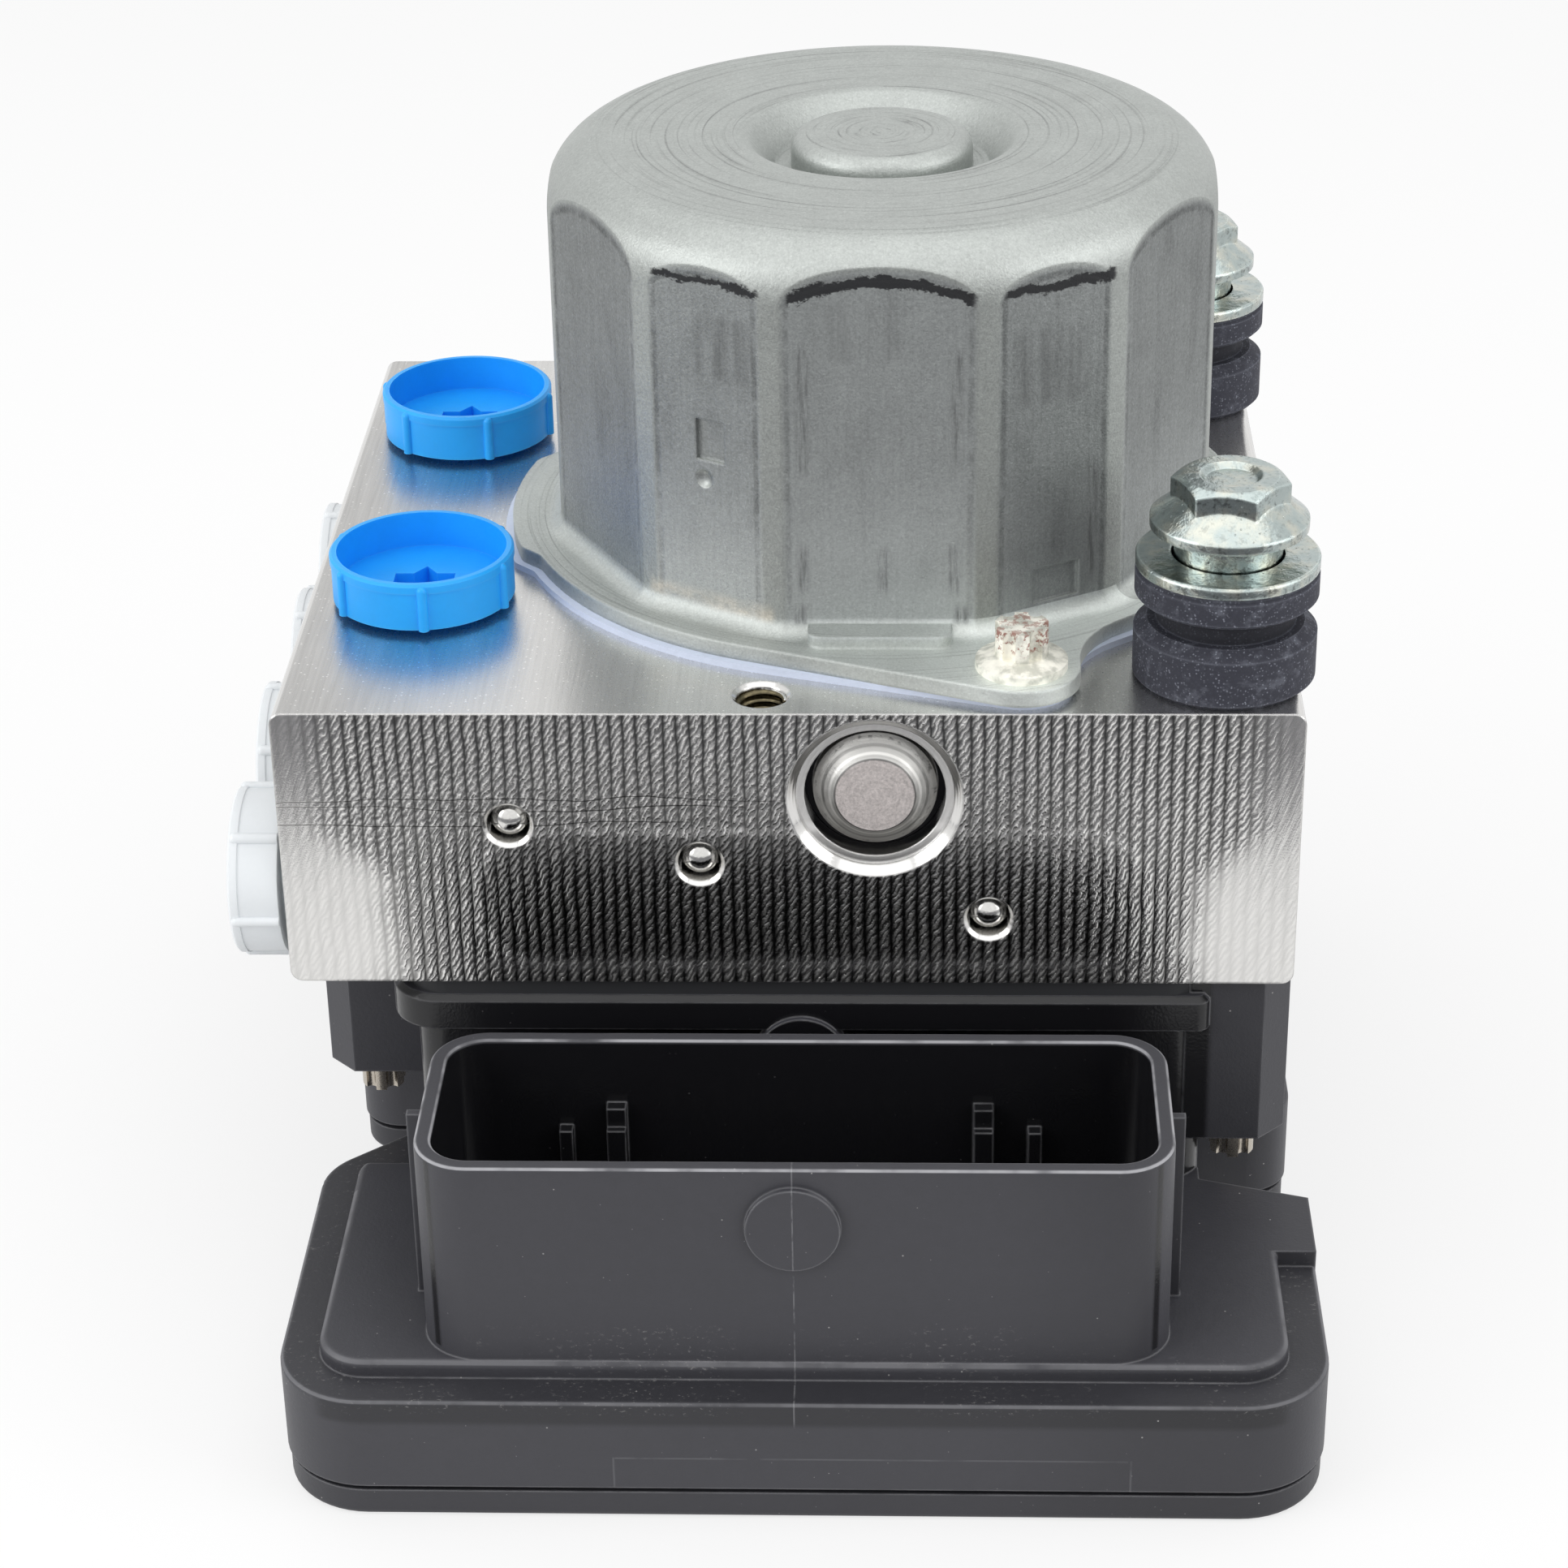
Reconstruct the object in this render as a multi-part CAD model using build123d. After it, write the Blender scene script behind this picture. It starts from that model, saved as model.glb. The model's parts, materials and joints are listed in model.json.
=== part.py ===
from build123d import *

import os
from math import acos, cos, degrees, radians, sin

# Anti-lock brake hydraulic unit: a milled valve block with the pump motor on top and the
# electronic control unit underneath. Millimetres, +Z up, +Y from the connector towards the back.
# The origin is on the resting plane (the underside of the cover), below the block's centre.

# ---------------------------------------------------------------- heights, from the resting plane
cover_thickness = 3.7
cover_seal_thickness = 0.8
tray_height = 12.0
plateau_rise = 2.2
chamber_height = 28.8
block_seal_thickness = 2.2
block_height = 36.0

tray_bottom = cover_thickness + cover_seal_thickness
tray_top = tray_bottom + tray_height
plateau_top = tray_top + plateau_rise
chamber_top = tray_top + chamber_height
block_bottom = chamber_top + block_seal_thickness
block_top = block_bottom + block_height

# ---------------------------------------------------------------- fits
thread_clearance = 0.05       # radial, threaded or pressed piece in its hole
sliding_clearance = 0.05      # radial, piston or shaft in its bore
air_gap = 0.6                 # radial, rotor to magnets
touch_gap = 0.1               # between pieces that rest against each other with light force
cut_overshoot = 1.0           # how far a cutter starts outside the face that it opens

# ---------------------------------------------------------------- valve block, round the motor
can_radius = 41.2
flange_brim = 4.4             # from the can's wall to the flange's rim
port_land = 25.2              # block to the left of the flange, which carries the inlet ports
mount_land = 3.6              # block to the right of the flange
end_land = 9.4                # block in front of the flange and behind it
block_corner_radius = 1.5
block_edge_break = 0.3
flange_radius = can_radius + flange_brim
block_width = port_land + 2 * flange_radius + mount_land
block_depth = 2 * (flange_radius + end_land)
left_face = -block_width / 2
right_face = block_width / 2
front_face = -block_depth / 2
rear_face = block_depth / 2

# ---------------------------------------------------------------- pump motor, about its own axis
gasket_thickness = 0.8
gasket_margin = 1.0
flange_thickness = 2.0
flange_ear_start = 160.0
flange_ear_end = 202.0
flange_ear_proud = 1.6
flange_ear_run = 4.0          # degrees over which the ear's ends slope away
flange_ear_blend = 2.5
bump_length = 17.0
bump_width = 5.0
bump_height = 1.5
can_height = 50.7
can_round = 7.4
can_wall = 2.0
can_foot_round = 2.2
flats_per_kind = 6
wide_flat_depth = 1.6         # how deep each kind of flat is pressed into the round can
narrow_flat_depth = 0.7
recess_rim_radius = 16.7
recess_floor_radius = 13.0
recess_depth = 4.0
boss_radius = 11.1
boss_height = 4.0
boss_round = 2.0
motor_screw_outset = 5.2      # from the flange's rim to a screw's axis
motor_screw_angle = 19.0
motor_screw_lobe = 6.9
motor_screw_lobe_blend = 14.0
dent_depth = 0.5
window_dents = (               # facet's turn, left and right edge, low and high edge
    (-120.0, -1.4, 2.5, 22.4, 27.5),
    (-60.0, -2.4, 3.8, 4.4, 8.8),
)
stake_turn = -120.0
stake_offset = -0.4
stake_height = 20.0
stake_radius = 1.5
stake_depth = 0.6
motor_x = (port_land - mount_land) / 2
motor_base = block_top + gasket_thickness
flange_top = motor_base + flange_thickness
can_top = motor_base + can_height
wide_flat_distance = can_radius - wide_flat_depth
narrow_flat_distance = can_radius - narrow_flat_depth
can_inner_radius = wide_flat_distance - can_wall
motor_screw_circle = flange_radius + motor_screw_outset

end_plate_thickness = 3.0
spigot_radius = 15.0
spigot_depth = 3.0
lower_bearing_radius = 11.0
lower_bearing_width = 6.0
upper_bearing_radius = 9.0
upper_bearing_width = 6.0
shaft_radius = 4.0
shaft_top_radius = 3.0
brush_holder_height = 5.5
brush_holder_bore = 17.0
brush_holder_rim = 4.0
brush_floor = 1.0
brush_reach = 26.0            # from the axis to the brush's outer end
brush_width = 6.0
brush_height = 4.0
commutator_radius = 9.0
commutator_height = 6.0
armature_headroom = 30.7      # the can's height beyond the lamination stack's
armature_slots = 12
slot_width = 5.0
slot_depth = 11.0
winding_height = 5.0
winding_inner_radius = 12.0
magnet_thickness = 6.0
magnet_headroom = 22.7        # the can's height beyond the magnets'
magnet_span = 74.0
armature_height = can_height - armature_headroom
magnet_height = can_height - magnet_headroom

# ---------------------------------------------------------------- eccentric and radial pump
pump_axis_drop = 11.1         # below the block's top face
pump_axis_offset = 0.5        # the pistons work slightly to one side of the shaft
eccentric_throw = 1.0
eccentric_radius = 6.0
eccentric_length = 9.0
ring_radius = 9.0
eccentric_chamber_radius = 12.5
eccentric_chamber_depth = 17.0
nose_bore_radius = 8.0
nose_bore_depth = 24.0
piston_radius = 4.0
piston_length = 22.0
cylinder_radius = 6.5
cylinder_cap = 4.0
pump_spring_wire = 0.8
pump_spring_turns = 3
plug_bore_radius = 8.3
plug_face_depth = 0.8
plug_face_radius = 4.6
plug_cone_radius = 7.3
plug_cone_height = 2.1
plug_groove_depth = 1.5
plug_chamfer_radius = 10.3
plug_step_radius = 9.3
plug_step_depth = 1.4
plug_end = 10.1               # from the block's face to the plug's inner end
pump_height = block_top - pump_axis_drop
pump_x = motor_x - pump_axis_offset
piston_end = block_depth / 2 - eccentric_throw - ring_radius - touch_gap
cylinder_length = piston_end - piston_length * 0.4 - plug_end

# ---------------------------------------------------------------- ports and their travelling caps
inlet_port_inset = 14.6       # from the block's left face
inlet_port_insets = (31.7, 26.4)  # from its front and rear faces
inlet_bore_radius = 5.5
inlet_bore_depth = 14.0
outlet_port_drop = 26.0       # below the block's top face
outlet_port_insets = (9.8, 15.9)  # first from the front face, last from the rear face
outlet_port_count = 4
outlet_bore_radius = 4.5
outlet_bore_depth = 13.0
port_chamfer = 1.0
inlet_cap_radius = 11.15
outlet_cap_radius = 10.0
cap_height = 6.0
cap_standoff = 0.8
cap_wall = 0.75
cap_floor = 1.5
cap_lip_height = 1.2
cap_lip_proud = 0.15
cap_ribs = 6
cap_rib_radius = 0.65
cap_stub_length = 9.0
cap_slot_length = 7.4
cap_slot_width = 4.0
cap_slot_peak = 4.1
cap_slot_peak_base = 2.8
cap_slot_depth = 3.0
outlet_cap_standoffs = (0.8, 1.7, 1.5, 1.8)
inlet_cap_turns = (276.5, 290.0)
outlet_cap_turns = (20.0, 5.0, 35.0, 50.0)
inlet_port_x = left_face + inlet_port_inset
inlet_port_ys = (front_face + inlet_port_insets[0], rear_face - inlet_port_insets[1])
outlet_port_height = block_top - outlet_port_drop
outlet_port_span = block_depth - sum(outlet_port_insets)
outlet_port_ys = [front_face + outlet_port_insets[0] + outlet_port_span * i / (outlet_port_count - 1)
                  for i in range(outlet_port_count)]

# ---------------------------------------------------------------- small bores of the block
ball_radius = 2.5
ball_sink = 0.5
ball_bore_depth = 12.0
ball_chamfer = 0.45
front_ball_spots = ((-32.8, 14.7), (-10.4, 19.8), (23.7, 27.2))
rear_ball_spots = ((-30.0, 17.0), (32.0, 21.0))
tapped_hole_x = -2.95
tapped_hole_from_front = 5.05
tapped_hole_radius = 3.0
tapped_hole_depth = 12.0
tapped_hole_chamfer = 0.5

# ---------------------------------------------------------------- rubber mountings
mount_inset = 8.9             # from the block's right face
mount_insets = (11.3, 12.7)   # from its front and rear faces
rubber_radius = 10.7
rubber_neck_radius = 8.1
rubber_base_height = 7.2
rubber_base_chamfer = 1.5
rubber_slot_height = 3.1
rubber_disc_height = 3.8
rubber_bead = 0.4
washer_radius = 10.7
washer_thickness = 1.3
sleeve_radius = 6.3
sleeve_wall = 2.1
sleeve_height = 18.9
mount_bolt_radius = 4.0
mount_bolt_engagement = 14.0
mount_flange_radius = 9.2
mount_flange_edge = 1.1
mount_flange_cone = 2.6
mount_hex_across_flats = 12.0
mount_hex_height = 2.5
mount_hex_turn = -9.0
mount_hex_crown = 5.5
mount_hex_crown_slope = 0.577
mount_head_dimple = 3.6
mount_head_dimple_depth = 0.6
mount_x = right_face - mount_inset
mount_ys = (front_face + mount_insets[0], rear_face - mount_insets[1])

# ---------------------------------------------------------------- star-headed screws
motor_screw_radius = 3.0
motor_screw_engagement = 12.0
motor_screw_flange = 5.4
motor_screw_flange_edge = 1.0
motor_screw_star = 3.2
motor_screw_head = 5.4
unit_screw_radius = 2.5
unit_screw_engagement = 10.0
unit_screw_flange = 4.1
unit_screw_flange_edge = 1.0
unit_screw_star = 2.75
unit_screw_head = 4.9
star_points = 6
star_groove = 0.27            # radius of the grooves, as part of the star's radius

# ---------------------------------------------------------------- control unit housing
tray_left_inset = 1.0         # from the block's left face
tray_right_proud = 2.9        # beyond its right face
tray_front_proud = 41.8
tray_back_proud = 3.0
tray_front_round = 10.5
tray_back_round = 6.0
tray_wall = 2.5
tray_roof = 2.5
plateau_inset = 4.7
plateau_edge_round = 0.9
plateau_tab_proud = 14.0      # tab's front edge, from the block's front face
lobe_round = 5.5
front_notch_round = 8.0
chamber_left_inset = 14.3     # from the block's faces
chamber_right_inset = 10.1
chamber_front_inset = 1.5
chamber_back_inset = 3.0
chamber_round = 4.0
chamber_wall = 2.4
rim_height = 4.5
rim_left_proud = 2.8
rim_right_proud = 0.4
rim_front_proud = 1.5
rim_round = 6.0
rim_right_round = 1.5
rim_chamfer = 0.7
block_seal_proud = 0.7
post_half_width = 6.0
post_chamfer = 3.3
post_height = 23.0
left_post_inset = 6.6         # from the block's left face
right_post_inset = 5.8
left_post_insets = (22.0, 30.2)   # from the block's front and rear faces
right_post_insets = (7.5, 9.0)
notch_clear = 6.2             # from a screw's axis to the notch's near end
front_notch_clear = 4.5       # the same for the left front screw
notch_flare = 4.0             # how much further a notch opens at the tray's edge
front_notch_flare = 11.5      # the same for the left front screw
notch_far = 12.0              # from a screw's axis to the notch's other end
tray_left = left_face + tray_left_inset
tray_right = right_face + tray_right_proud
tray_front = front_face - tray_front_proud
tray_back = rear_face + tray_back_proud
plateau_tab_front = front_face - plateau_tab_proud
chamber_left = left_face + chamber_left_inset
chamber_right = right_face - chamber_right_inset
chamber_front = front_face + chamber_front_inset
chamber_back = rear_face - chamber_back_inset
left_post_x = left_face + left_post_inset
right_post_x = right_face - right_post_inset
left_post_ys = (front_face + left_post_insets[0], rear_face - left_post_insets[1])
right_post_ys = (front_face + right_post_insets[0], rear_face - right_post_insets[1])

shroud_x = 1.3
shroud_width = 86.3
shroud_depth = 29.2
shroud_set_back = 5.3         # from the tray's front wall
shroud_height = 28.5
shroud_wall = 2.0
shroud_round = 6.5
shroud_floor = 2.5
shroud_rim_round = 0.5
gate_disc_radius = 5.4
gate_disc_proud = 0.8
gate_disc_drop = 7.7
rail_width = 1.1
rail_proud = 1.8
rail_set_back = 13.9          # from the shroud's front wall
rail_drop = 1.5
wide_key_offset = 21.8
wide_key_width = 2.3
wide_key_drop = 8.6
narrow_key_offset = 27.9
narrow_key_width = 1.6
narrow_key_drop = 11.8
key_depth = 1.6
key_step = 1.0                # a lower step in front of each wide key
key_step_drop = 2.5
pin_columns = 12
pin_rows = 2
pin_pitch = 3.0
pin_row_pitch = 6.0
pin_side = 0.64
pin_length = 9.0
blade_offsets = (-33.0, -26.0, 26.0, 33.0)
blade_width = 4.8
blade_thickness = 0.8
shroud_front = tray_front + shroud_set_back
rail_y = shroud_front + rail_set_back
shroud_top = tray_top + shroud_height
shroud_y = shroud_front + shroud_depth / 2
shroud_floor_top = plateau_top + shroud_floor

board_thickness = 1.6
board_drop = 2.5              # below the tray's roof
board_margin = 0.4
cover_edge_round = 0.9
cover_inset = 0.3
seal_inset = 1.2
seal_width = 1.2

# ---------------------------------------------------------------- solenoid valves and sensor
valve_column_insets = (27.0, 49.0)  # two columns from the block's left face
valve_column_right_inset = 28.0     # and one from its right face
valve_row_pitch = 24.0
valve_rows = 4
valve_bore_radius = 5.5
valve_bore_depth = 15.0
valve_dome_radius = 3.5
valve_dome_length = 22.0
coil_radius = 9.0
coil_height = 18.0
coil_end = 0.8                # how far the dome's tip passes the coil
terminal_side = 0.8
terminal_spacing = 5.0
sensor_offset = 0.5           # to the right of the motor's axis
sensor_y = 32.0
sensor_radius = 4.5
sensor_body_radius = 6.0
sensor_depth = 10.0
lead_offset = 18.4            # to the right of the motor's axis
lead_radius = 3.0
lead_pin_radius = 0.9
lead_pin_spacing = 2.8
lead_rise = 2.0               # above the motor's end plate
sensor_x = motor_x + sensor_offset
lead_x = motor_x + lead_offset
valve_columns = [left_face + inset for inset in valve_column_insets]
valve_columns.append(right_face - valve_column_right_inset)
valve_ys = [valve_row_pitch * (i - (valve_rows - 1) / 2) for i in range(valve_rows)]
valve_spots = [(x, y) for x in valve_columns for y in valve_ys]

# ---------------------------------------------------------------- low-pressure accumulators
accumulator_ys = (-24.0, 24.0)
accumulator_drop = 18.0       # below the block's top face
accumulator_radius = 11.0
accumulator_depth = 20.0
accumulator_piston = 5.0
accumulator_wall = 1.6
accumulator_cap = 3.0
accumulator_cap_sink = 0.5
spring_radius = 7.0
spring_wire = 0.7
spring_turns = 3
accumulator_height = block_top - accumulator_drop

SEATED = (Align.CENTER, Align.CENTER, Align.MIN)
UP = (0, 0, 1)
DOWN = (0, 0, -1)
FORWARD = (0, -1, 0)
BACKWARD = (0, 1, 0)
LEFTWARD = (-1, 0, 0)
RIGHTWARD = (1, 0, 0)


# ---------------------------------------------------------------- helpers
def rod(radius, start, direction, length):
    """Cylinder that begins at a point and runs along a direction."""
    return Plane(origin=start, z_dir=direction) * Cylinder(radius, length, align=SEATED)


def bore(radius, mouth, inward, depth):
    """Cutter for a blind hole, begun a little outside its mouth."""
    start = Vector(mouth) - Vector(inward) * cut_overshoot
    return rod(radius, start, inward, depth + cut_overshoot)


def mouth_chamfer(radius, width, mouth, inward):
    """Cutter for the 45 degree chamfer round a hole's mouth."""
    return Plane(origin=mouth, z_dir=inward) * Cone(radius + width, radius, width, align=SEATED)


def turned(profile, rounds=()):
    """Solid of revolution about Z from (radius, height) corners, some of them rounded."""
    section = make_face(Polyline(*profile, close=True))
    for corner, radius in rounds:
        section = fillet(section.vertices().sort_by_distance(corner)[0], radius)
    return revolve(Plane.XZ * section, Axis.Z)


def slab(sketch, low, high):
    """Prism over a sketch between two heights."""
    return extrude(Pos(0, 0, low) * sketch, amount=high - low)


def rectangle(x_low, x_high, y_low, y_high, corner=0.0):
    """Sketch of a rectangle between two corners, with rounded corners if asked."""
    width = x_high - x_low
    depth = y_high - y_low
    centre = Pos((x_low + x_high) / 2, (y_low + y_high) / 2)
    if corner > 0:
        return centre * RectangleRounded(width, depth, corner)
    return centre * Rectangle(width, depth)


def group(solids):
    """Several like pieces that share one node."""
    return Compound(children=list(solids))


def star_screw(shank_radius, shank_length, flange_radius_, flange_edge, star_radius, head_height):
    """Flanged screw with a six-lobed external drive; its seat is at height 0 and its head is up."""
    groove = star_radius * star_groove
    cone_top = flange_edge + (flange_radius_ - star_radius) * 0.35
    flange_body = turned(((0, -shank_length), (shank_radius, -shank_length), (shank_radius, 0),
                          (flange_radius_, 0), (flange_radius_, flange_edge),
                          (star_radius, cone_top), (0, cone_top)))
    drive = Pos(0, 0, cone_top) * Cylinder(star_radius, head_height - cone_top, align=SEATED)
    grooves = [Pos(cos(turn) * star_radius, sin(turn) * star_radius, cone_top)
               * Cylinder(groove, head_height, align=SEATED)
               for turn in (radians(360 / star_points * i) for i in range(star_points))]
    return flange_body + (drive - grooves)


# ---------------------------------------------------------------- valve block
def make_valve_block():
    """Milled aluminium block with every bore that a fitted piece needs."""
    block = Pos(0, 0, block_bottom) * Box(block_width, block_depth, block_height, align=SEATED)
    block = fillet(block.edges().filter_by(Axis.Y), block_corner_radius)
    for face in (block.faces().sort_by(Axis.Y)[0], block.faces().sort_by(Axis.Y)[-1]):
        block = chamfer(face.edges(), block_edge_break)

    # motor: counterbore for the spigot, eccentric chamber and the bore of the shaft's nose
    top = (motor_x, 0, block_top)
    cuts = [bore(spigot_radius + thread_clearance, top, DOWN, spigot_depth + touch_gap),
            bore(eccentric_chamber_radius, top, DOWN, eccentric_chamber_depth),
            bore(nose_bore_radius, top, DOWN, nose_bore_depth)]
    for x, y in motor_screw_spots():
        cuts.append(bore(motor_screw_radius + thread_clearance, (x, y, block_top), DOWN,
                         motor_screw_engagement + cut_overshoot))
    cuts.append(rod(lead_radius + thread_clearance, (lead_x, 0, block_bottom - cut_overshoot), UP,
                    block_height + 2 * cut_overshoot))

    # pump: a stepped bore from each end, closed by a plug in a stepped and chamfered mouth
    for face_y, inward in ((front_face, BACKWARD), (rear_face, FORWARD)):
        mouth = (pump_x, face_y, pump_height)
        cuts.append(bore(cylinder_radius + thread_clearance, mouth, inward, block_depth / 2))
        cuts.append(bore(plug_bore_radius, mouth, inward, plug_end))
        cuts.append(bore(plug_step_radius, mouth, inward, plug_step_depth))
        cuts.append(mouth_chamfer(plug_step_radius, plug_chamfer_radius - plug_step_radius,
                                  mouth, inward))

    # hydraulic ports
    for y in inlet_port_ys:
        mouth = (inlet_port_x, y, block_top)
        cuts.append(bore(inlet_bore_radius, mouth, DOWN, inlet_bore_depth))
        cuts.append(mouth_chamfer(inlet_bore_radius, port_chamfer, mouth, DOWN))
    for y in outlet_port_ys:
        mouth = (left_face, y, outlet_port_height)
        cuts.append(bore(outlet_bore_radius, mouth, RIGHTWARD, outlet_bore_depth))
        cuts.append(mouth_chamfer(outlet_bore_radius, port_chamfer, mouth, RIGHTWARD))

    # drilled passages closed by pressed balls
    for face_y, inward, spots in ((front_face, BACKWARD, front_ball_spots),
                                  (rear_face, FORWARD, rear_ball_spots)):
        for x, drop in spots:
            mouth = (x, face_y, block_top - drop)
            cuts.append(bore(ball_radius + thread_clearance, mouth, inward, ball_bore_depth))
            cuts.append(mouth_chamfer(ball_radius + thread_clearance, ball_chamfer, mouth, inward))

    # tapped holes: one free, two for the rubber mountings, four for the control unit
    free_hole = (tapped_hole_x, front_face + tapped_hole_from_front, block_top)
    cuts.append(bore(tapped_hole_radius, free_hole, DOWN, tapped_hole_depth))
    cuts.append(mouth_chamfer(tapped_hole_radius, tapped_hole_chamfer, free_hole, DOWN))
    for y in mount_ys:
        cuts.append(bore(mount_bolt_radius + thread_clearance, (mount_x, y, block_top), DOWN,
                         mount_bolt_engagement + cut_overshoot))
    for x, y in post_spots():
        cuts.append(bore(unit_screw_radius + thread_clearance, (x, y, block_bottom), UP,
                         unit_screw_engagement + cut_overshoot))

    # valves, pressure sensor and accumulators
    for x, y in valve_spots:
        cuts.append(bore(valve_bore_radius + thread_clearance, (x, y, block_bottom), UP,
                         valve_bore_depth))
    cuts.append(bore(sensor_radius + thread_clearance, (sensor_x, sensor_y, block_bottom), UP,
                     sensor_depth))
    for y in accumulator_ys:
        cuts.append(bore(accumulator_radius, (right_face, y, accumulator_height), LEFTWARD,
                         accumulator_depth))
    return block - cuts


# ---------------------------------------------------------------- motor
def around_axis(radius, turn):
    """Point at a radius and an angle, in degrees from +X, about the origin."""
    return (radius * cos(radians(turn)), radius * sin(radians(turn)))


def around_motor(radius, turn):
    """The same about the motor's axis."""
    x, y = around_axis(radius, turn)
    return (motor_x + x, y)


def motor_screw_spots():
    """The two screws stand opposite each other across the motor."""
    return [around_motor(motor_screw_circle, motor_screw_angle - 90 + 180 * i) for i in range(2)]


def motor_flange_outline(margin):
    """Round flange with an ear on its left and two screw lobes, blended on both their sides."""
    rim = flange_radius + margin
    lobe = motor_screw_lobe - margin
    ear_radius = rim + flange_ear_proud
    low_foot = around_axis(rim, flange_ear_start)
    low_crest = around_axis(ear_radius, flange_ear_start + flange_ear_run)
    high_crest = around_axis(ear_radius, flange_ear_end - flange_ear_run)
    high_foot = around_axis(rim, flange_ear_end)
    crown = around_axis(ear_radius, (flange_ear_start + flange_ear_end) / 2)
    ear = make_face(Polyline((0, 0), low_foot, low_crest)
                    + ThreePointArc(low_crest, crown, high_crest)
                    + Polyline(high_crest, high_foot, (0, 0)))
    outline = Circle(rim) + ear
    for x, y in (low_foot, low_crest, high_crest, high_foot):
        corner = outline.vertices().sort_by_distance((x, y, 0))[0]
        outline = fillet(corner, flange_ear_blend)
    lean = degrees(acos((rim - lobe) / motor_screw_circle))
    for i in range(2):
        turn = motor_screw_angle - 90 + 180 * i
        centre = (motor_screw_circle * cos(radians(turn)), motor_screw_circle * sin(radians(turn)))
        side = (cos(radians(turn - lean)), sin(radians(turn - lean)))
        blend = Polyline((0, 0), (rim * side[0], rim * side[1]),
                         (centre[0] + lobe * side[0], centre[1] + lobe * side[1]), centre,
                         close=True)
        outline += Pos(*centre) * Circle(lobe)
        outline += make_face(blend)
        crook = around_axis(flange_radius + margin, turn + 9.0)
        corner = outline.vertices().sort_by_distance((*crook, 0))[0]
        outline = fillet(corner, motor_screw_lobe_blend)
    return Pos(motor_x, 0) * outline


def make_motor_housing():
    """Deep-drawn can: a round shell with twelve pressed flats, a bearing boss and a flange."""
    boss_top = can_height - recess_depth + boss_height
    floor = can_height - recess_depth
    outside = turned(((0, 0), (can_radius, 0), (can_radius, can_height),
                      (recess_rim_radius, can_height), (recess_floor_radius, floor),
                      (boss_radius, floor), (boss_radius, boss_top), (0, boss_top)),
                     (((can_radius, can_height), can_round),
                      ((recess_rim_radius, can_height), 2.4),
                      ((boss_radius, boss_top), boss_round)))
    pitch = 360 / flats_per_kind
    side_cut = Box(can_round, can_radius * 2, can_height, align=(Align.MIN, Align.CENTER, Align.MIN))
    flats = []
    for i in range(flats_per_kind):
        flats.append(Rot(0, 0, pitch * i) * Pos(narrow_flat_distance, 0, 0) * side_cut)
        flats.append(Rot(0, 0, pitch * (i + 0.5)) * Pos(wide_flat_distance, 0, 0) * side_cut)
    outside = outside - flats

    plate = extrude(motor_flange_outline(0.0), amount=flange_thickness)
    body = Pos(motor_x, 0, 0) * outside + plate
    foot_edges = [edge for edge in body.edges()
                  if abs(edge.center().Z - flange_thickness) < 0.01
                  and (edge.center() - Vector(motor_x, 0, flange_thickness)).length < can_radius + 0.1
                  and edge.bounding_box().size.Z < 0.01]
    body = fillet(foot_edges, can_foot_round)

    axis = Pos(motor_x, 0, 0)
    for turn, left, right, low, high in window_dents:
        dent = Box(dent_depth + can_round, right - left, high - low,
                   align=(Align.MIN, Align.MIN, Align.MIN))
        dent = Pos(narrow_flat_distance - dent_depth, left, low) * dent
        body -= axis * Rot(0, 0, turn) * dent
    stake = Pos(narrow_flat_distance + stake_radius - stake_depth, stake_offset, stake_height)
    body -= axis * Rot(0, 0, stake_turn) * stake * Sphere(stake_radius)

    bump_y = -(wide_flat_distance + bump_width / 2 - 1.0)
    bump = Pos(motor_x, bump_y, flange_thickness) * extrude(
        RectangleRounded(bump_length, bump_width, bump_width * 0.35), amount=bump_height)
    body += bump

    inner_floor = floor - can_wall
    hollow = turned(((0, -1), (can_inner_radius, -1), (can_inner_radius, can_height - can_wall),
                     (recess_rim_radius + can_wall, can_height - can_wall),
                     (recess_floor_radius + can_wall, inner_floor),
                     (upper_bearing_radius, inner_floor),
                     (upper_bearing_radius, boss_top - can_wall), (0, boss_top - can_wall)),
                    (((can_inner_radius, can_height - can_wall), can_round - can_wall),))
    body -= Pos(motor_x, 0, 0) * hollow
    for x, y in motor_screw_spots():
        body -= Pos(x, y, 0) * Cylinder(motor_screw_radius + 0.3, 3 * flange_thickness)
    return Pos(0, 0, motor_base) * body


def make_motor_gasket():
    """Flat seal that shows all round the flange."""
    ring = motor_flange_outline(gasket_margin) - Pos(motor_x, 0) * Circle(can_inner_radius - 2.0)
    for x, y in motor_screw_spots():
        ring -= Pos(x, y) * Circle(motor_screw_radius + 0.3)
    inside_block = rectangle(left_face + 1, right_face - 1, front_face + block_edge_break,
                             rear_face - block_edge_break)
    return slab(ring & inside_block, block_top, motor_base)


def make_motor_screws():
    """Two flanged screws that hold the motor to the block."""
    grip = gasket_thickness + flange_thickness
    screw = star_screw(motor_screw_radius, motor_screw_engagement + grip, motor_screw_flange,
                       motor_screw_flange_edge, motor_screw_star, motor_screw_head)
    return group(Pos(x, y, flange_top) * screw for x, y in motor_screw_spots())


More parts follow.
